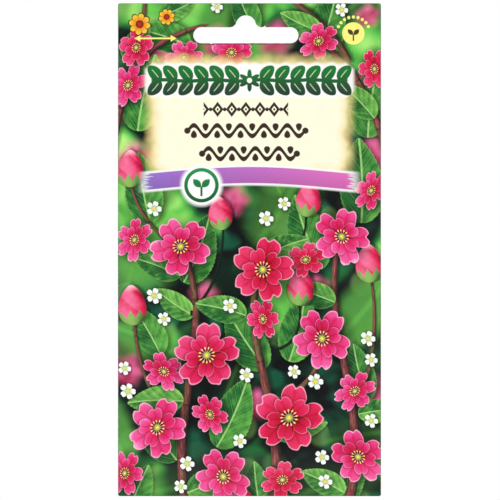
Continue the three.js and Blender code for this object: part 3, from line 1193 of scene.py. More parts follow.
    def _scatter(self, seed: int, count: int, low: float, high: float) -> list[Motif]:
        """Leaves thrown on both panels at random, kept where they touch no other.

        Args:
            seed: start of the repeatable draw.
            count: how many to throw.
            low, high: the shortest and longest leaf.

        Returns:
            The leaves that are kept.
        """
        draw = random.Random(seed)
        between = 1.5  # two spots that a leaf may cover
        across, up = np.meshgrid(np.arange(-44, 130, between), np.arange(-90, 98, between))
        spots = np.stack([across.ravel(), up.ravel()], axis=-1)
        taken = np.zeros(len(spots), dtype=bool)
        leaves: list[Motif] = []
        for _ in range(count):
            leaf = LongMotif(
                draw.uniform(-42, 122), draw.uniform(-84, 70), draw.uniform(low, high),
                draw.uniform(-80, 80), 1, 0, draw.random(), 0.14, draw.uniform(-0.25, 0.25))
            reach = leaf.outside(leaf.local(spots)) < leaf.margin
            if not (reach & taken).any():
                taken |= reach
                leaves.append(leaf)
        return leaves

    def print_on(self, mesh: Mesh) -> None:
        """Writes all the layers.

        Args:
            mesh: the punched packet's mesh.
        """
        writer = StampWriter(mesh)
        layers = {
            Layer.DIM_LEAF: self._scatter(5, 300, 34, 46), Layer.FAR_LEAF: self._scatter(8, 300, 20, 32),
            Layer.FAR_BLOSSOM: [
                Motif(*place, 40 * tone, 0.9, 30, tone, 0.1) for *place, tone in self.far_blossoms],
            Layer.LOW_LEAF: long_motifs(self.low_leaves),
            Layer.STEM: [Stem(*row) for row in self.stems],
            Layer.HIGH_LEAF: long_motifs(self.high_leaves),
            Layer.BUD: long_motifs(self.buds),
            Layer.LOW_BLOSSOM: [Motif(*row, 0.26) for row in self.low_blossoms],
            Layer.HIGH_BLOSSOM: [Motif(*row, 0.26) for row in self.high_blossoms],
            Layer.STAR: [
                Motif(x, y, size, 37 * size, 0.92, 50 * size, size % 1, 0.3) for x, y, size in self.stars],
            Layer.DAISY: [Motif(*place, 1, 0, tone, 0.3) for *place, tone in self.daisies],
        }
        for layer, motifs in layers.items():
            writer.write(layer, motifs)


# ---- what is printed


@dataclass
class Picture:
    """A printed picture while it is built up, one thing laid over another."""

    tree: Tree
    colour: Socket

    def lay(self, cover: Number, colour: Paint) -> None:
        """Lays a colour over the picture, as far as it covers."""
        self.colour = self.tree.mix(cover, self.colour, colour)

    def shade(self, light: Number) -> None:
        """Makes the picture darker or lighter."""
        self.colour = self.tree.lit(self.colour, light)

    def deepen(self, power: float, gain: float) -> None:
        """Adds contrast.

        Args:
            power: how much more a dark place is darkened than a light one.
            gain: how much the lightest place is lightened.
        """
        grey = self.tree.read("ShaderNodeRGBToBW", {}, {0: self.colour})
        self.shade(grey.largest(0.001) ** power * gain)
        held = {0: self.colour, 1: (1.0, 1.0, 1.0)}
        self.colour = self.tree.node("ShaderNodeVectorMath", {"operation": "MINIMUM"}, held).outputs[0]


@dataclass(frozen=True)
class SoftGarden:
    """The out-of-focus green behind the flowers."""

    night: Ink = ink(8, 15, 21)
    deep: Ink = ink(15, 52, 36)
    green: Ink = ink(38, 124, 58)
    fresh: Ink = ink(100, 198, 80)
    light: Ink = ink(172, 230, 122)
    emerald: Ink = ink(24, 120, 84)

    def start(self, tree: Tree) -> Picture:
        """A picture of the ground alone.

        Args:
            tree: the material's tree.

        Returns:
            The picture.
        """
        place = tree.sheet()
        across, up = tree.at()
        broad = tree.noise(place, 0.036, 1.0, 0.8)
        close = tree.noise(place, 0.11, 1.0, 0.4)
        level = (broad - 0.5) * 3.3 + (close - 0.5) * 1.0 + up * 0.0036 - across * 0.0014 + 0.34
        colour = tree.ramp(level, (0.0, self.night), (0.14, self.night), (0.34, self.deep),
                           (0.54, self.green), (0.78, self.fresh), (1.0, self.light))
        cool = (close - broad).rise(0.02, 0.25) * level.fall(0.3, 0.8)
        picture = Picture(tree, colour)
        picture.lay(cool * 0.6, self.emerald)
        sockets = {"Vector": place, "Scale": 0.085}
        spots = tree.node("ShaderNodeTexVoronoi", {"voronoi_dimensions": "2D"}, sockets)
        red, _, _ = tree.split(spots.outputs["Color"])
        disc = Num(tree, spots.outputs["Distance"]).fall(0.24, 0.40) * red.rise(0.5, 0.9)
        picture.lay(disc * 0.26, self.light)
        return picture


def leaf_half(along: Num, breadth: float, base: float = 0.55, tip: float = 0.85) -> Num:
    """Half a leaf's breadth, from its base at 0 to its tip at 1; a smaller base or tip is blunter."""
    body = along.held()
    return body**base * (1 - body) ** tip * breadth


def distance(across: Number, up: Number) -> Num:
    """The length of a vector from its two parts."""
    return (across * across + up * up).math("SQRT")


def beyond_box(across: Num, up: Num, half_x: float, half_y: float) -> Num:
    """How far a place lies outside a box."""
    return distance((abs(across) - half_x).largest(0.0), (abs(up) - half_y).largest(0.0))


def crests(across: Num, up: Num, count: int) -> Num:
    """A wave round the middle, from -1 to 1, with a number of crests."""
    return (up.math("ARCTAN2", across) * count).math("COSINE")


@dataclass(frozen=True)
class StampInk:
    """An ink for one stamp layer of a picture."""

    picture: Picture
    layer: Layer

    def start(self) -> tuple[Tree, Socket, Num, Num, Num]:
        """The tree, each stamp's own place as a vector and as two numbers, and its tone."""
        return (self.picture.tree, *self.picture.tree.stamp(self.layer))


@dataclass(frozen=True)
class SoftLeaf(StampInk):
    """An out-of-focus leaf."""

    dark: Ink = ink(10, 36, 30)
    light: Ink = ink(112, 200, 80)
    blur: float = 0.08
    cover: float = 0.72

    def lay(self) -> None:
        """Prints the leaves."""
        tree, _, aside, along, tone = self.start()
        inside = leaf_half(along, 0.62) - abs(aside)
        ends = along.rise(-self.blur, self.blur) * along.fall(1 - self.blur, 1 + self.blur)
        cover = inside.rise(-self.blur, self.blur) * ends
        rib = abs(aside).fall(0.0, 0.05) * 0.25
        colour = tree.mix((tone + rib + aside * 0.6).held(), self.dark, self.light)
        self.picture.lay(cover * self.cover, colour)


@dataclass(frozen=True)
class SharpLeaf(StampInk):
    """A leaf in focus, with its ribs, two halves and saw edge."""

    dark: Ink = ink(14, 52, 34)
    middle: Ink = ink(38, 118, 50)
    light: Ink = ink(118, 200, 82)
    rib: Ink = ink(176, 222, 132)
    breadth: float = 0.66
    ribs: float = 6.5
    teeth: float = 17.0

    def lay(self) -> None:
        """Prints the leaves and their shadows."""
        tree, place, aside, along, tone = self.start()
        side = abs(aside)
        shadow = (abs(aside - 0.03) - leaf_half(along + 0.04, 0.62)).fall(-0.02, 0.09)
        self.picture.shade(1 - 0.5 * shadow * along.rise(-0.1, 0.05) * along.fall(0.98, 1.1))
        inside = leaf_half(along, self.breadth) + (along * self.teeth).fract() * 0.014 - side
        cover = inside.rise(-0.006, 0.014) * along.rise(0.0, 0.01) * along.fall(0.985, 1.0)
        mottle = tree.noise(place, 7.0, 3.0) - 0.5
        gap = ((along - side * 1.5 + side * side * 1.2) * self.ribs + mottle * 0.25).zigzag()
        light = tone * 0.45 + aside.rise(-0.03, 0.03) * 0.20 + gap.fall(0.1, 0.5) * 0.16
        level = light + mottle * 0.7 + inside.fall(0.0, 0.10) * 0.12 - along * 0.10 + 0.06
        colour = tree.ramp(level, (0.0, self.dark), (0.4, self.middle), (0.95, self.light))
        veins = gap.rise(0.43, 0.5) * side.fall(0.10, 0.22) * 0.35 + side.fall(0.005, 0.018) * 0.7
        veins = veins + inside.fall(0.008, 0.020) * 0.3
        self.picture.lay(cover, tree.mix(veins.held(), colour, self.rib))


@dataclass(frozen=True)
class StemInk(StampInk):
    """A reddish stem with a bright side, fine streaks and joints; the thinnest are dark green."""

    dark: Ink = ink(46, 28, 34)
    middle: Ink = ink(118, 58, 58)
    light: Ink = ink(204, 108, 108)
    green: Ink = ink(92, 124, 62)
    stalk: Ink = ink(28, 48, 34)

    def lay(self) -> None:
        """Prints the stems and their shadows."""
        tree, place, aside, along, tone = self.start()
        self.picture.shade(1 - 0.45 * abs(aside - 0.35).fall(0.9, 1.9))
        streak = tree.noise(place, 4.0, 3.0) - 0.5
        joint = (along * 0.62 + tone).zigzag().fall(0.0, 0.03)
        level = 0.60 - (aside + 0.3) * (aside + 0.3) * 0.45 + streak * 1.1 - joint * 0.25
        colour = tree.ramp(level, (0.0, self.dark), (0.42, self.middle), (0.9, self.light))
        fresh = (tree.noise(place, 0.9, 1.0) + tone * 0.4).rise(0.5, 0.85) * 0.6
        colour = tree.mix(fresh, colour, tree.lit(self.green, level + 0.35))
        colour = tree.mix(tone.rise(0.7, 0.9), colour, tree.lit(self.stalk, level + 0.5))
        self.picture.lay(abs(aside).fall(0.84, 1.10), colour)


@dataclass(frozen=True)
class BudInk(StampInk):
    """A closed bud: wound petals over a green cup, with a pale tip."""

    dark: Ink = ink(140, 6, 40)
    middle: Ink = ink(236, 34, 88)
    light: Ink = ink(252, 130, 174)
    tip: Ink = ink(255, 226, 232)
    cup: Ink = ink(44, 104, 48)
    cup_light: Ink = ink(156, 204, 104)

    def lay(self) -> None:
        """Prints the buds and their shadows."""
        tree, place, aside, along, tone = self.start()
        half = leaf_half(along, 0.80, 0.5, 0.72).largest(0.001)
        shadow = (abs(aside - 0.04) - half).fall(0.0, 0.12)
        self.picture.shade(1 - 0.55 * shadow * along.rise(-0.12, 0.05) * along.fall(0.95, 1.12))
        turn = (aside / half).largest(-1.2).least(1.2)
        cover = (half - abs(aside)).rise(-0.01, 0.02) * along.rise(0.0, 0.02) * along.fall(0.97, 1.0)
        wound = (turn * 0.55 + along * 1.7 + tone).fract()
        fold = wound.rise(0.0, 0.14) * 0.5 + wound.fall(0.55, 1.0) * 0.5
        grain = (tree.noise(place, 9.0, 2.0) - 0.5) * 0.25
        level = 0.40 - (turn + 0.35) * (turn + 0.35) * 0.34 + fold * 0.40 + grain
        petals = tree.ramp(level, (0.0, self.dark), (0.42, self.middle), (0.95, self.light))
        self.picture.lay(cover, tree.mix(along.rise(0.80, 1.0) * 0.7, petals, self.tip))
        points = (turn * 1.5 + 0.25).zigzag()
        cup_level = 0.75 - (turn + 0.3) * (turn + 0.3) * 0.55 + grain
        cup = cover * (along - 0.16 - points * 0.40).fall(-0.01, 0.02)
        self.picture.lay(cup, tree.mix(cup_level.held(), self.cup, self.cup_light))


@dataclass(frozen=True)
class BlossomInk(StampInk):
    """An open blossom: two rings of notched petals with a pale rim, a deep throat and stamens."""

    throat: Ink = ink(112, 2, 34)
    deep: Ink = ink(206, 14, 62)
    hot: Ink = ink(238, 40, 116)
    pink: Ink = ink(248, 98, 168)
    rim: Ink = ink(255, 214, 232)
    red_tint: Ink = (0.96, 0.48, 0.40, 1.0)
    pollen: Ink = ink(250, 222, 96)
    heart: Ink = ink(150, 176, 62)
    petals: int = 5
    gap: float = 0.46

    def lay(self) -> None:
        """Prints the blossoms and their shadows."""
        picture = self.picture
        tree, place, u, v, tone = self.start()
        picture.shade(1 - 0.62 * distance(u - 0.07, v + 0.10).fall(0.62, 1.18))
        far = distance(u, v)
        angle = v.math("ARCTAN2", u)
        ruffle = tree.noise(place, 2.4, 3.0) - 0.5
        turn = angle * (self.petals / TURN) + ruffle * 0.16
        light = (angle - 2.2).math("COSINE") * 0.07 + tone * 0.12 + ruffle * 0.42
        tint = tree.mix(tone.fall(0.25, 0.65) * 0.8, (1.0, 1.0, 1.0, 1.0), self.red_tint)
        self._ring(turn, far, ruffle, light, tint, True)
        self._ring(turn + 0.5, far / 0.66, ruffle, light - 0.08, tint, False)
        picture.lay(far.fall(0.15, 0.25) * 0.85, self.throat)
        picture.lay(far.fall(0.09, 0.12), tree.mix(far.fall(0.0, 0.1), self.heart, self.pollen))
        dot_turn = (angle * (13 / TURN) + ruffle * 0.6).zigzag()
        picture.lay((abs(far - 0.205) * 8 + dot_turn * 1.6).fall(0.30, 0.46), self.pollen)
        hair = dot_turn.fall(0.05, 0.12) * far.rise(0.09, 0.12) * far.fall(0.18, 0.22)
        picture.lay(hair * 0.7, self.rim)

    def _ring(self, turn: Num, far: Num, ruffle: Num, light: Num, tint: Paint, outer: bool) -> None:
        """Prints one ring of petals.

        Args:
            turn: the angle, one for each petal.
            far: distance from the middle, 1 at the petals' tips.
            ruffle: noise that the edges follow.
            light: how light each place is.
            tint: what the petals' colour is multiplied by.
            outer: whether it is the outer ring.
        """
        tree = self.picture.tree
        aside = turn.fract() - 0.5
        wide = abs(aside) * 2
        reach = 0.97 - wide**3 * self.gap - wide.fall(0.0, 0.24) * 0.10 + ruffle * 0.14
        inside = reach - far
        if not outer:
            self.picture.shade(1 - 0.42 * inside.rise(-0.16, 0.06))
        veins = (aside * 78 + ruffle * 9).math("SINE") * 0.05 * far.fall(0.5, 1.05)
        crease = wide.fall(0.0, 0.16) * 0.12 * far.fall(0.75, 0.95)
        own = ((turn.math("FLOOR") * 0.37).fract() - 0.5) * 0.16
        fold = aside.fall(-0.46, -0.16) * 0.12 - aside.rise(0.30, 0.5) * 0.36
        level = far * 0.60 + 0.09 + light + veins - crease + own + fold
        colour = tree.ramp(level, (0.0, self.throat), (0.20, self.deep), (0.48, self.hot),
                           (0.78, self.pink), (1.0, self.rim))
        edge = inside.fall(0.012, 0.075) * (0.65 if outer else 0.30)
        rimmed = tree.mix(edge, tree.mix(1.0, colour, tint, "MULTIPLY"), self.rim)
        self.picture.lay(inside.rise(-0.005, 0.03), rimmed)


@dataclass(frozen=True)
class SoftBlossom(StampInk):
    """An out-of-focus blossom."""

    dark: Ink = ink(186, 18, 74)
    light: Ink = ink(250, 120, 174)

    def lay(self) -> None:
        """Prints the blossoms."""
        tree, place, u, v, tone = self.start()
        lobes = crests(u, v, 5)
        cover = (distance(u, v) - lobes * 0.07).fall(0.30, 1.0)
        level = (tree.noise(place, 1.4, 1.0) - 0.5) * 1.6 + 0.42 + v * 0.3 + tone * 0.2
        self.picture.lay(cover * 0.92, tree.mix(level.held(), self.dark, self.light))


@dataclass(frozen=True)
class StarInk(StampInk):
    """A tiny white flower with a yellow middle."""

    white: Ink = ink(252, 252, 248)
    grey: Ink = ink(150, 186, 132)
    middle: Ink = ink(240, 206, 70)

    def lay(self) -> None:
        """Prints the flowers and their shadows."""
        tree, _, u, v, _ = self.start()
        far = distance(u, v)
        wide = (v.math("ARCTAN2", u) * (5 / TURN)).zigzag() * 2
        self.picture.shade(1 - 0.55 * distance(u - 0.06, v + 0.12).fall(0.7, 1.28))
        inside = 0.97 - wide**3 * 0.55 - wide.fall(0.0, 0.2) * 0.06 - far
        light = far.rise(0.10, 0.62) * 0.75 + inside.fall(0.0, 0.2) * 0.25 - wide.rise(0.7, 1.0) * 0.45
        self.picture.lay(inside.rise(0.0, 0.07), tree.mix(light.held(), self.grey, self.white))
        self.picture.lay(far.fall(0.17, 0.25), self.middle)


@dataclass(frozen=True)
class DaisyInk(StampInk):
    """A small drawn flower with four round petals and a dark outline."""

    outline: Ink = ink(66, 36, 20)
    orange: Ink = ink(244, 140, 36)
    yellow: Ink = ink(252, 206, 64)
    red: Ink = ink(190, 40, 38)

    def lay(self) -> None:
        """Prints the flowers."""
        tree, _, u, v, _ = self.start()
        away = distance(u, v)
        lobes = abs(crests(u, v, 4)) ** 0.6
        inside = lobes * 0.34 + 0.62 - away
        self.picture.lay(inside.rise(-0.10, -0.04), self.outline)
        petals = tree.mix(away.rise(0.3, 0.9), self.orange, self.yellow)
        self.picture.lay(inside.rise(0.0, 0.06) * lobes.rise(0.1, 0.3), petals)
        self.picture.lay(away.fall(0.30, 0.38), self.outline)
        self.picture.lay(away.fall(0.20, 0.26), self.red)


@dataclass(frozen=True)
class TitlePanel:
    """The pale panel with its garland, three rows of ornament, ribbon and medallion."""

    picture: Picture
    cream: Ink = ink(254, 253, 226)
    honey: Ink = ink(250, 226, 150)
    garland_top: Ink = ink(28, 122, 52)
    garland_low: Ink = ink(38, 66, 48)
    brown: Ink = ink(58, 40, 32)
    lilac: Ink = ink(142, 108, 196)
    rose: Ink = ink(218, 108, 182)
    leaf: Ink = ink(34, 148, 76)
    leaf_dark: Ink = ink(16, 92, 50)
    white: Ink = ink(255, 255, 255)
    half_width: float = 25.0
    middle: float = 40.0
    half_height: float = 12.5
    garland_y: float = 51.5
    ribbon_y: float = 21.2
    ring_place: tuple[float, float] = (-14.6, 19.6)
    ring_radius: float = 4.7

    def lay(self) -> None:
        """Prints the panel and what lies on it."""
        tree = self.picture.tree
        across, up = tree.at(0, self.middle)
        wisp = tree.noise(tree.sheet(), 0.16, 2.0) - 0.5
        away = beyond_box(across, up, self.half_width, self.half_height) + wisp * 4
        self.picture.lay(away.fall(3.2, 8.0), tree.mix(away.rise(1.0, 6.0), self.cream, self.honey))
        self._lozenges()
        self._scroll(-18.7, 36.2, 5)
        self._scroll(-14.2, 29.2, 4)
        self._garland()
        self._ribbon()
        self._medallion()

    def _lozenges(self) -> None:
        """Prints a row of lozenges with dots between, ending in arrow heads."""
        across, up = self.picture.tree.at(-1.1, 42.7)
        high, pitch, reach = 2.3, 4.3, 12.9
        local = abs(((across / pitch + 0.5).fract() - 0.5) * pitch)
        slant = local * 1.30 + abs(up)
        lozenge = slant.fall(high - 0.10, high + 0.10) * slant.rise(high * 0.42, high * 0.42 + 0.2)
        core = slant.fall(high * 0.16, high * 0.16 + 0.2)
        dot = distance(local - pitch / 2, up).fall(0.48, 0.66)
        row = lozenge.largest(dot).largest(core) * abs(across).fall(reach - 0.1, reach)
        self.picture.lay(row, self.brown)

    def _scroll(self, start: float, middle: float, waves: int) -> None:
        """Prints a row of plain scroll work: a waved stroke with a drop in each hollow.

        Args:
            start: where the row starts, across.
            middle: the height of its middle line.
            waves: how many waves there are.
        """
        across, up = self.picture.tree.at(start, middle)
        high, pitch = 2.4, 7.1
        wave = (across * (TURN / pitch)).math("SINE")
        line = abs(up - wave * (high * 0.68)).fall(0.62, 0.80) * abs(up).fall(high - 0.15, high)
        hollow = ((across / pitch * 2).fract() - 0.5) * (pitch / 2)
        rise = up * wave.math("SIGN") + high * 0.46
        drop = distance(hollow / (0.98 - rise * 0.30), rise / 1.30).fall(0.80, 0.98)
        half = pitch * waves / 2
        inside = abs(across - half)
        knob = distance(inside - half - 0.2, up).fall(0.85, 1.05)
        self.picture.lay((line.largest(drop) * inside.fall(half, half + 0.1)).largest(knob), self.brown)

    def _garland(self) -> None:
        """Prints the leafy band, with a small flower between its halves."""
        tree = self.picture.tree
        across, up = tree.at(0, self.garland_y)
        pitch, length, lean, start, end = 4.7, 5.7, math.radians(50), 3.0, 31.1
        side, high = abs(across), abs(up)
        step = (side - start) / pitch
        near = step.fract() * pitch - 0.62
        ahead, beside = turned(near, high, lean)
        along = ahead / length
        aside = beside / length - along * (1 - along) * 0.14
        inside = leaf_half(along, 0.72, 0.5, 0.62) - abs(aside)
        span = side.rise(start, start + 0.1) * side.fall(end, end + 0.1)
        leaves = inside.rise(-0.015, 0.02) * along.fall(0.98, 1.0) * span
        vine = abs(up - (across * 0.42).math("SINE") * 0.2).fall(0.48, 0.64)
        vine = vine * side.fall(29.5, 30.2) * side.rise(1.3, 1.5)
        far = distance(across, up)
        petals = 0.5 - crests(across, up, 6) * 0.5
        flower = (far - petals * 1.9).fall(1.35, 1.6) * far.rise(0.7, 0.9)
        edge = (step * TURN - 4.2).math("COSINE") * 0.3 + side.fall(28.5, 31.5) * 1.2 + 3.3
        self.picture.lay(high.fall(edge, edge + 1.3) * side.fall(31.0, 32.4) * 0.92, self.white)
        light = tree.mix(up.rise(-4.2, 4.2), self.garland_low, self.garland_top)
        rib = abs(aside).fall(0.012, 0.035) * along.rise(0.16, 0.24) * along.fall(0.66, 0.78) * leaves
        self.picture.lay(leaves.largest(vine).largest(flower), tree.mix(rib * 0.6, light, self.cream))

    def _ribbon(self) -> None:
        """Prints the ribbon, gently arched, with brushed ends."""
        tree = self.picture.tree
        across, up = tree.at(0, self.ribbon_y)
        bristle = tree.node("ShaderNodeMapping", {}, {"Vector": tree.sheet(), "Scale": (0.25, 3.2, 1.0)})
        brushed = abs(across) + (tree.noise(bristle.outputs[0], 1.0, 2.0) - 0.5) * 9
        off = up - (across * 0.062).math("COSINE") * 1.5
        inside = 2.45 - abs(off)
        self.picture.lay(inside.rise(-1.1, -0.3) * abs(across).fall(30.5, 34.5) * 0.9, self.white)
        colour = tree.mix((across / 62 + 0.5).held(), self.lilac, self.rose)
        cover = inside.rise(-0.12, 0.12) * brushed.fall(30.0, 32.5)
        self.picture.lay(cover, tree.lit(colour, off * 0.05 + 1.0))

    def _medallion(self) -> None:
        """Prints a ring with a two-leaved sprout in it."""
        tree = self.picture.tree
        across, up = tree.at(*self.ring_place)
        far, radius = distance(across, up), self.ring_radius
        self.picture.lay(far.fall(radius + 0.8, radius + 2.4), self.white)
        ring = abs(far - radius).fall(0.46, 0.62)
        colour = tree.mix((up / (2 * radius) + 0.5).held(), self.leaf_dark, self.leaf)
        self.picture.lay(ring.largest(sprout(across, up + 0.3, radius * 0.66)), colour)


def sprout(across: Num, up: Num, size: float) -> Num:
    """A small stalk with two leaves.

    Args:
        across, up: the place from its middle.
        size: half its height.

    Returns:
        How much ink there is.
    """
    side, high = abs(across) / size, up / size
    along = (side + high + 0.10) * 0.62
    off = (high - side + 0.14) * 0.70
    leaf = along.rise(0.0, 0.02) * (along * (1 - along) * 1.35 - abs(off)).rise(-0.02, 0.05)
    stalk = side.fall(0.08, 0.13) * high.rise(-1.0, -0.95) * high.fall(-0.05, 0.05)
    return leaf.largest(stalk)


@dataclass(frozen=True)
class HeaderSigns:
    """The small drawn signs beside the slot: daisies, an arrow and a pale disc."""

    picture: Picture
    pale: Ink = ink(253, 248, 132)
    brown: Ink = ink(84, 62, 38)
    disc_place: tuple[float, float] = (31.6, 65.8)
    disc_radius: float = 3.3
    arrow_place: tuple[float, float] = (-28.6, 64.3)
    arrow_half: float = 6.4

    def lay(self) -> None:
        """Prints the signs."""
        across, up = self.picture.tree.at(*self.disc_place)
        far = distance(across, up)
        beads = (up.math("ARCTAN2", across) * (22 / TURN)).zigzag()
        arc = distance(beads * 1.5, far - self.disc_radius - 1.7).fall(0.42, 0.58) * up.rise(1.25, 1.4)
        self.picture.lay(arc.largest(far.fall(self.disc_radius, self.disc_radius + 0.2)), self.pale)
        self.picture.lay(sprout(across, up + 0.2, 2.1), self.brown)
        self._arrow()
        DaisyInk(self.picture, Layer.DAISY).lay()

    def _arrow(self) -> None:
        """Prints a double-headed arrow."""
        across, up = self.picture.tree.at(*self.arrow_place)
        side, half = abs(across), self.arrow_half
        shaft = abs(up).fall(0.18, 0.32) * side.fall(half - 1.2, half - 1.0)
        heads = (abs(up) + (side - half) * 0.55).fall(-0.05, 0.08)
        heads = heads * side.rise(half - 1.9, half - 1.7) * side.fall(half, half + 0.1)
        self.picture.lay(shaft.largest(heads), self.pale)


@dataclass(frozen=True)
class FrontPrint:
    """The front panel's print, which also runs round the folds onto both end flaps."""

    size: PacketSize = PacketSize()
    flap_green: Ink = ink(44, 112, 54)
    worn: Ink = ink(236, 232, 220)
    slot_shade: Ink = ink(66, 56, 52)

    def material(self) -> Material:
        """Makes the material.

        Returns:
            The material.
        """
        picture = SoftGarden().start(Tree(bpy.data.materials.new("front_print")))
        SoftLeaf(picture, Layer.DIM_LEAF, blur=0.13, cover=0.65).lay()
        SoftLeaf(picture, Layer.FAR_LEAF).lay()
        SoftBlossom(picture, Layer.FAR_BLOSSOM).lay()
        print_bouquet(picture)
        TitlePanel(picture).lay()
        HeaderSigns(picture).lay()
        self._edges(picture)
        return PaperCoat().finish(picture)

    def _edges(self, picture: Picture) -> None:
        """Paints shade along the folds and a shadow line under the slot's lower edge, and wears the ink off
        here and there.

        Args:
            picture: the picture so far.
        """
        tree = picture.tree
        across, up = tree.at()
        beyond = abs(up) - self.size.height / 2
        picture.lay(beyond.rise(0.3, 0.8) * 0.55, self.flap_green)
        fold = abs(abs(across) - self.size.width / 2).fall(0.10, 0.34).largest(abs(beyond).fall(0.10, 0.34))
        # painted shade: the print is darkened in a band along each fold, standing in for the shade where the
        # paper turns away
        picture.shade(1 - 0.55 * fold)
        picture.lay(fold * tree.noise(tree.sheet(), 1.5, 2.0).rise(0.60, 0.66) * 0.35, self.worn)
        punch = SlotPunch()
        radius = punch.height / 2
        slot_x, slot_y = tree.at(-self.size.middle_x, punch.top - radius - self.size.middle_z)
        ring = distance((abs(slot_x) - punch.width / 2 + radius).largest(0.0), slot_y) - radius
        # painted shadow: a dark line is laid along the slot's lower edge
        picture.lay(ring.fall(0.26, 0.42) * slot_y.fall(-1.2, 0.6) * 0.9, self.slot_shade)


def print_bouquet(picture: Picture) -> None:
    """Prints the sharp leaves, stems, buds and blossoms, from the back to the front.

    Args:
        picture: the picture so far.
    """
    SharpLeaf(picture, Layer.LOW_LEAF).lay()
    StemInk(picture, Layer.STEM).lay()
    SharpLeaf(picture, Layer.HIGH_LEAF, light=ink(142, 212, 94)).lay()
    StarInk(picture, Layer.STAR).lay()
    BudInk(picture, Layer.BUD).lay()
    BlossomInk(picture, Layer.LOW_BLOSSOM, petals=6, gap=0.52).lay()
    BlossomInk(picture, Layer.HIGH_BLOSSOM).lay()
    picture.deepen(0.22, 1.27)


class Sign(Enum):
    """The growing signs on the back, with each one's place across from the middle."""

    SUN = -18.0
    DROP = 0.0
    SPROUT = 18.0


@dataclass(frozen=True)
class BackPrint:
    """The back panel's print: a cream field, a picture window, plain rules and three signs."""

    cream: Ink = ink(250, 247, 232)
    tint: Ink = ink(234, 241, 216)
    green: Ink = ink(44, 112, 54)
    rule: Ink = ink(176, 194, 160)
    sun: Ink = ink(244, 178, 54)
    drop: Ink = ink(74, 150, 196)
    window_middle: float = -36.0
    window_half: tuple[float, float] = (26.0, 17.0)  # without its rounded border
    window_border: float = 4.0
    rule_pitch: float = 5.2
    frame_middle: float = -3.4
    frame_half: tuple[float, float] = (35.6, 56.0)
    sign_y: float = 37.5
    sign_radius: float = 6.6

    def material(self) -> Material:
        """Makes the material.

        Returns:
            The material.
        """
        picture = SoftGarden().start(Tree(bpy.data.materials.new("back_print")))
        SoftLeaf(picture, Layer.FAR_LEAF).lay()
        print_bouquet(picture)
        self._field(picture)
        for sign, colour in ((Sign.SUN, self.sun), (Sign.DROP, self.drop), (Sign.SPROUT, self.green)):
            self._sign(picture, sign, colour)
        return PaperCoat().finish(picture)

    def _field(self, picture: Picture) -> None:
        """Prints the cream field round the window, with its frame and rules.

        Args:
            picture: the picture so far.
        """
        tree = picture.tree
        across, up = tree.at(BACK_MIDDLE)
        window = beyond_box(across, up - self.window_middle, *self.window_half) - self.window_border
        picture.lay(window.rise(-0.1, 0.1), tree.mix(tree.noise(tree.sheet(), 0.05), self.cream, self.tint))
        picture.lay(abs(window - 0.8).fall(0.2, 0.34), self.green)
        lines = ((up - 1.0) / self.rule_pitch).zigzag() * self.rule_pitch
        span = abs(across).fall(29.0, 29.3) * up.rise(-9.0, -8.6) * up.fall(24.6, 25.0)
        picture.lay(lines.fall(0.10, 0.22) * span, self.rule)
        frame_x, frame_y = self.frame_half
        beyond = (abs(across) - frame_x).largest(abs(up - self.frame_middle) - frame_y)
        picture.lay(abs(beyond).fall(0.32, 0.5), self.green)

    def _sign(self, picture: Picture, sign: Sign, colour: Ink) -> None:
        """Prints a ring with a sign in it.

        Args:
            picture: the picture so far.
            sign: which sign it is.
            colour: the sign's ink.
        """
        across, up = picture.tree.at(BACK_MIDDLE + sign.value, self.sign_y)
        far = distance(across, up)
        picture.lay(abs(far - self.sign_radius).fall(0.26, 0.42), self.green)
        if sign is Sign.SUN:
            rays = crests(across, up, 8).rise(0.2, 0.5)
            cover = far.fall(2.3, 2.5).largest(rays * far.rise(3.0, 3.2) * far.fall(4.4, 4.6))
        elif sign is Sign.DROP:
            tip = (abs(across) * 1.75 + up).fall(3.5, 3.7) * up.rise(0.0, 0.1)
            cover = distance(across, up + 1.0).fall(2.3, 2.5).largest(tip)
        else:
            cover = sprout(across, up, 4.0)
        picture.lay(cover, colour)


@dataclass(frozen=True)
class PaperCoat:
    """The coated paper's gloss: smooth, with faint fibres and handling marks."""

    roughness: float = 0.29
    specular: float = 0.30

    def finish(self, picture: Picture) -> Material:
        """Ends a picture's tree in coated paper.

        Args:
            picture: what is printed on the paper.

        Returns:
            The material.
        """
        tree, place = picture.tree, picture.tree.sheet()
        smear = tree.noise(place, 0.09, 2.0, 0.5)
        fibre = tree.noise(place, 2.2, 2.0)
        cockle = tree.noise(place, 0.16, 1.0)
        return tree.surface({
            "Base Color": picture.colour, "Roughness": smear * 0.16 + fibre * 0.06 + self.roughness - 0.11,
            "Specular IOR Level": self.specular,
            "Normal": tree.bump(0.35, 0.00008, fibre * 0.25 + cockle * 0.75),
        })


@dataclass(frozen=True)
class RawPaper:
    """The uncoated inside of the paper."""

    pale: Ink = ink(240, 237, 228)
    fleck: Ink = ink(222, 216, 200)

    def material(self) -> Material:
        """Makes the material.

        Returns:
            The material.
        """
        tree = Tree(bpy.data.materials.new("raw_paper"))
        fibre = tree.noise(tree.sheet(), 1.6, 3.0, 0.6)
        colour = tree.mix(fibre.rise(0.42, 0.7), self.pale, self.fleck)
        bump = tree.bump(0.4, 0.00005, fibre)
        return tree.surface({"Base Color": colour, "Roughness": fibre * 0.2 + 0.72, "Normal": bump})


@dataclass(frozen=True)
class CutEdge:
    """The white core that shows where the paper is cut."""

    core: Ink = ink(246, 244, 238)
    soiled: Ink = ink(206, 198, 186)

    def material(self) -> Material:
        """Makes the material.

        Returns:
            The material.
        """
        tree = Tree(bpy.data.materials.new("cut_edge"))
        fibre = tree.noise(tree.body(), 2600.0, 2.0)
        colour = tree.mix(fibre.rise(0.5, 0.72) * 0.7, self.core, self.soiled)
        return tree.surface({"Base Color": colour, "Roughness": fibre * 0.2 + 0.75})


# ---- seeds


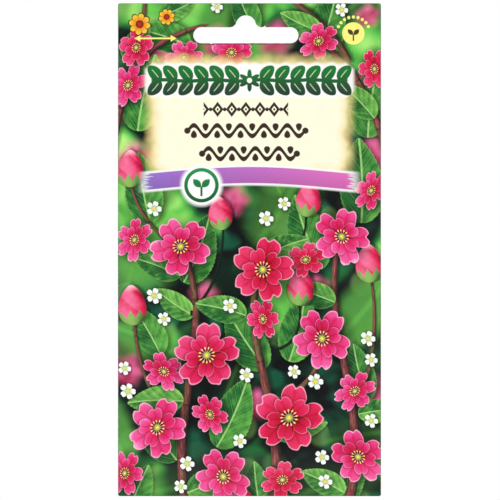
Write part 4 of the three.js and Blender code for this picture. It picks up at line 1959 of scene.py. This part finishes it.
@dataclass(frozen=True)
class SeedCoat:
    """A glossy black seed coat with fine pits and a cream spot at its notch."""

    black: Ink = ink(24, 20, 18)
    brown: Ink = ink(52, 38, 28)
    cream: Ink = ink(214, 198, 160)

    def material(self) -> Material:
        """Makes the material.

        Returns:
            The material.
        """
        tree = Tree(bpy.data.materials.new("seed_coat"))
        place = tree.body()
        pits = tree.read("ShaderNodeTexVoronoi", {}, {"Vector": place, "Scale": 6200.0}, "Distance")
        blotch = tree.noise(place, 900.0, 2.0)
        coat = tree.mix(blotch.rise(0.5, 0.75), self.black, self.brown)
        spot = tree.read("ShaderNodeAttribute", {"attribute_name": "aril"}, {}, "Fac")
        return tree.surface({
            "Base Color": tree.mix(spot, coat, self.cream), "Normal": tree.bump(0.5, 0.00003, pits),
            "Roughness": spot * 0.4 + blotch * 0.16 + 0.16})


@dataclass(frozen=True)
class SeedHeap:
    """The loose seeds, lying as in the part's source."""

    size: PacketSize
    length: float = 2.8
    breadth: float = 2.4
    depth: float = 2.0
    bend: float = 0.26
    rows: tuple[tuple[float, int], ...] = ((12.6, 3), (15.5, 2))  # height above the fold and how many
    pitch: float = 3.25
    draw: int = 41  # start of the repeatable draw, then the factor and divisor of each step
    draw_factor: int = 16807
    draw_divisor: int = 2147483647
    rings: int = 28
    spokes: int = 44

    def _draws(self) -> Iterator[float]:
        """The source's own repeatable draws.

        Returns:
            Numbers from 0 to 1, without end.
        """
        state = self.draw
        while True:
            state = state * self.draw_factor % self.draw_divisor
            yield state / self.draw_divisor

    def places(self) -> list[tuple[float, float, float]]:
        """Where the seeds lie.

        Returns:
            Each seed's x, z and tilt.
        """
        draws = self._draws()
        return [
            (self.size.middle_x + (k - (count - 1) / 2) * self.pitch,
             self.size.bottom + above + 0.2 * next(draws), (next(draws) - 0.5) * 0.5)
            for above, count in self.rows for k in range(count)]

    def _kernel(self, number: int, x: float, z: float, tilt: float) -> Object:
        """One seed: a ball pressed flat and bent to a kidney, with faint dents and an aril in its notch.

        Args:
            number: which seed, for its own dents.
            x, z, tilt: where it lies and how far it leans.

        Returns:
            The seed.
        """
        phase = np.random.default_rng(100 + number).uniform(0, 6.28, 6)
        ball = bmesh.new()
        bmesh.ops.create_uvsphere(ball, u_segments=self.spokes, v_segments=self.rings, radius=1.0)
        mesh = bpy.data.meshes.new(f"seed_kernel_{number}")
        ball.to_mesh(mesh)
        ball.free()
        across, up, out = np.array([vertex.co for vertex in mesh.vertices]).T
        out = -out
        dents = 0.010 * (np.sin(7 * across + phase[0]) * np.sin(6 * up + phase[1])
                         + np.sin(9 * out + phase[2]) * np.sin(8 * across + phase[3]))
        notch = np.exp(-((across / 0.22) ** 2 + (out / 0.34) ** 2 + ((up + 1.0) / 0.4) ** 2))
        grow = 1 - 0.012 + dents * 0.8 - 0.07 * notch
        along = across * grow * self.length / 2
        high = (up * grow - self.bend * (across * grow) ** 2) * self.breadth / 2
        along, high = turned(along, high, tilt)
        points = np.stack([along + x, out * grow * self.depth / 2, high + z], axis=-1)
        mesh.vertices.foreach_set("co", (points * MM).ravel())
        mesh.shade_smooth()
        aril = mesh.attributes.new("aril", "FLOAT", "POINT")
        aril.data.foreach_set("value", ease((notch - 0.25) / 0.3))
        return add_object(mesh.name, mesh)

    def build(self) -> list[Object]:
        """Makes the seeds.

        Returns:
            The seeds, in the nodes' order.
        """
        seeds = [self._kernel(number, *place) for number, place in enumerate(self.places(), start=1)]
        coat = SeedCoat().material()
        for seed in seeds:
            seed.data.materials.append(coat)
        return seeds


# ---- studio


@dataclass(frozen=True)
class Studio:
    """Camera, soft lights, white surround and a pale floor well below the hanging packet."""

    size: PacketSize
    lens: float = 120.0
    distance: float = 0.5071
    shift_x: float = 0.00015
    shift_z: float = -0.00008
    floor_z: float = -0.35
    floor_radius: float = 1.5
    floor_sides: int = 96
    surround: float = 0.22

    def camera(self) -> None:
        """Sets the camera square to the front."""
        data = bpy.data.cameras.new("camera")
        data.lens = self.lens
        data.sensor_width = 36.0
        data.clip_start = 0.01
        camera = add_object("camera", data)
        camera.location = (
            self.size.middle_x * MM + self.shift_x, -self.distance, self.size.middle_z * MM + self.shift_z)
        camera.rotation_euler = (math.pi / 2, 0, 0)
        bpy.context.scene.camera = camera

    def lights(self) -> None:
        """Hangs square soft lights that point at the packet: two in front, two behind and one above."""
        middle = Vector((0.0, 0.0, self.size.middle_z * MM))
        for name, place, side, power in (
                ("front_left", (-0.75, -0.85, 0.10), 0.7, 5.0),
                ("front_right", (0.75, -0.85, 0.05), 0.7, 5.0),
                ("back_left", (-0.95, 0.55, 0.25), 0.6, 6.4),
                ("back_right", (0.75, 0.9, 0.15), 0.7, 4.8),
                ("above", (0.0, 0.0, 1.1), 1.2, 10.0)):
            data = bpy.data.lights.new(name, "AREA")
            data.shape, data.size, data.energy = "SQUARE", side, power
            light = add_object(name, data)
            light.location = place
            light.rotation_euler = (middle - light.location).to_track_quat("-Z", "Y").to_euler()

    def world(self) -> None:
        """A white surround for the camera, and a softer one for everything else."""
        world = bpy.data.worlds.new("surround")
        bpy.context.scene.world = world
        tree = Tree(world)
        seen = tree.read("ShaderNodeLightPath", output="Is Camera Ray")
        strength = seen * (1.0 - self.surround) + self.surround
        glow = tree.node("ShaderNodeBackground", {}, {"Color": (1.0, 1.0, 1.0, 1.0), "Strength": strength})
        tree.node("ShaderNodeOutputWorld", {}, {"Surface": glow.outputs[0]})

    def floor(self) -> Object:
        """Makes the pale round floor, which fades into the white surround.

        Returns:
            The floor.
        """
        turns = [TURN * k / self.floor_sides for k in range(self.floor_sides)]
        radius = self.floor_radius
        rim = [(radius * math.cos(a), radius * math.sin(a), self.floor_z) for a in turns]
        mesh = bpy.data.meshes.new("studio_floor")
        mesh.from_pydata(rim, [], [range(self.floor_sides)])
        tree = Tree(bpy.data.materials.new("floor_paint"))
        x, y, _ = tree.split(tree.body())
        mesh.materials.append(tree.surface({
            "Base Color": ink(244, 244, 242), "Roughness": tree.noise(tree.body(), 3.0, 2.0) * 0.1 + 0.7,
            "Specular IOR Level": 0.2, "Alpha": distance(x, y).fall(0.45, radius - 0.15)}))
        return add_object("studio_floor", mesh)

    def build(self) -> None:
        """Builds the studio."""
        scene = bpy.context.scene
        scene.view_settings.view_transform = "Standard"
        scene.view_settings.look = "None"
        self.camera()
        self.lights()
        self.world()
        self.floor()


# ---- all together


@dataclass
class SeedPacket:
    """The whole packet: its blank, print, slot and seeds."""

    size: PacketSize = PacketSize()

    def build_blank(self) -> Object:
        """Folds, punches and prints the blank.

        Returns:
            The packet.
        """
        tents = tuple((x, z) for x, z, _ in SeedHeap(self.size).places())
        packet = FoldedBlank(self.size, Pouch(self.size, tents=tents)).build()
        for finish in (FrontPrint(), BackPrint(), RawPaper(), CutEdge()):
            packet.data.materials.append(finish.material())
        SlotPunch().cut(packet)
        Bouquet().print_on(packet.data)
        return packet

    def build(self) -> None:
        """Builds every piece and ties it to the frame."""
        packet = self.build_blank()
        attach(packet, "root")
        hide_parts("packet")
        report(packet)
        for number, seed in enumerate(SeedHeap(self.size).build(), start=1):
            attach(seed, "root")
            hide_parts(f"seed_{number}")
            report(seed)


def report(piece: Object) -> None:
    """Logs a piece's name and how many faces it has."""
    LOG.info("%s: %d faces", piece.name, len(piece.data.polygons))


def main() -> None:
    """Builds the packet and the studio in order."""
    logging.basicConfig(level=logging.INFO, format="%(name)s: %(message)s")
    packet = SeedPacket()
    packet.build()
    Studio(packet.size).build()


if __name__ == "__main__":
    main()
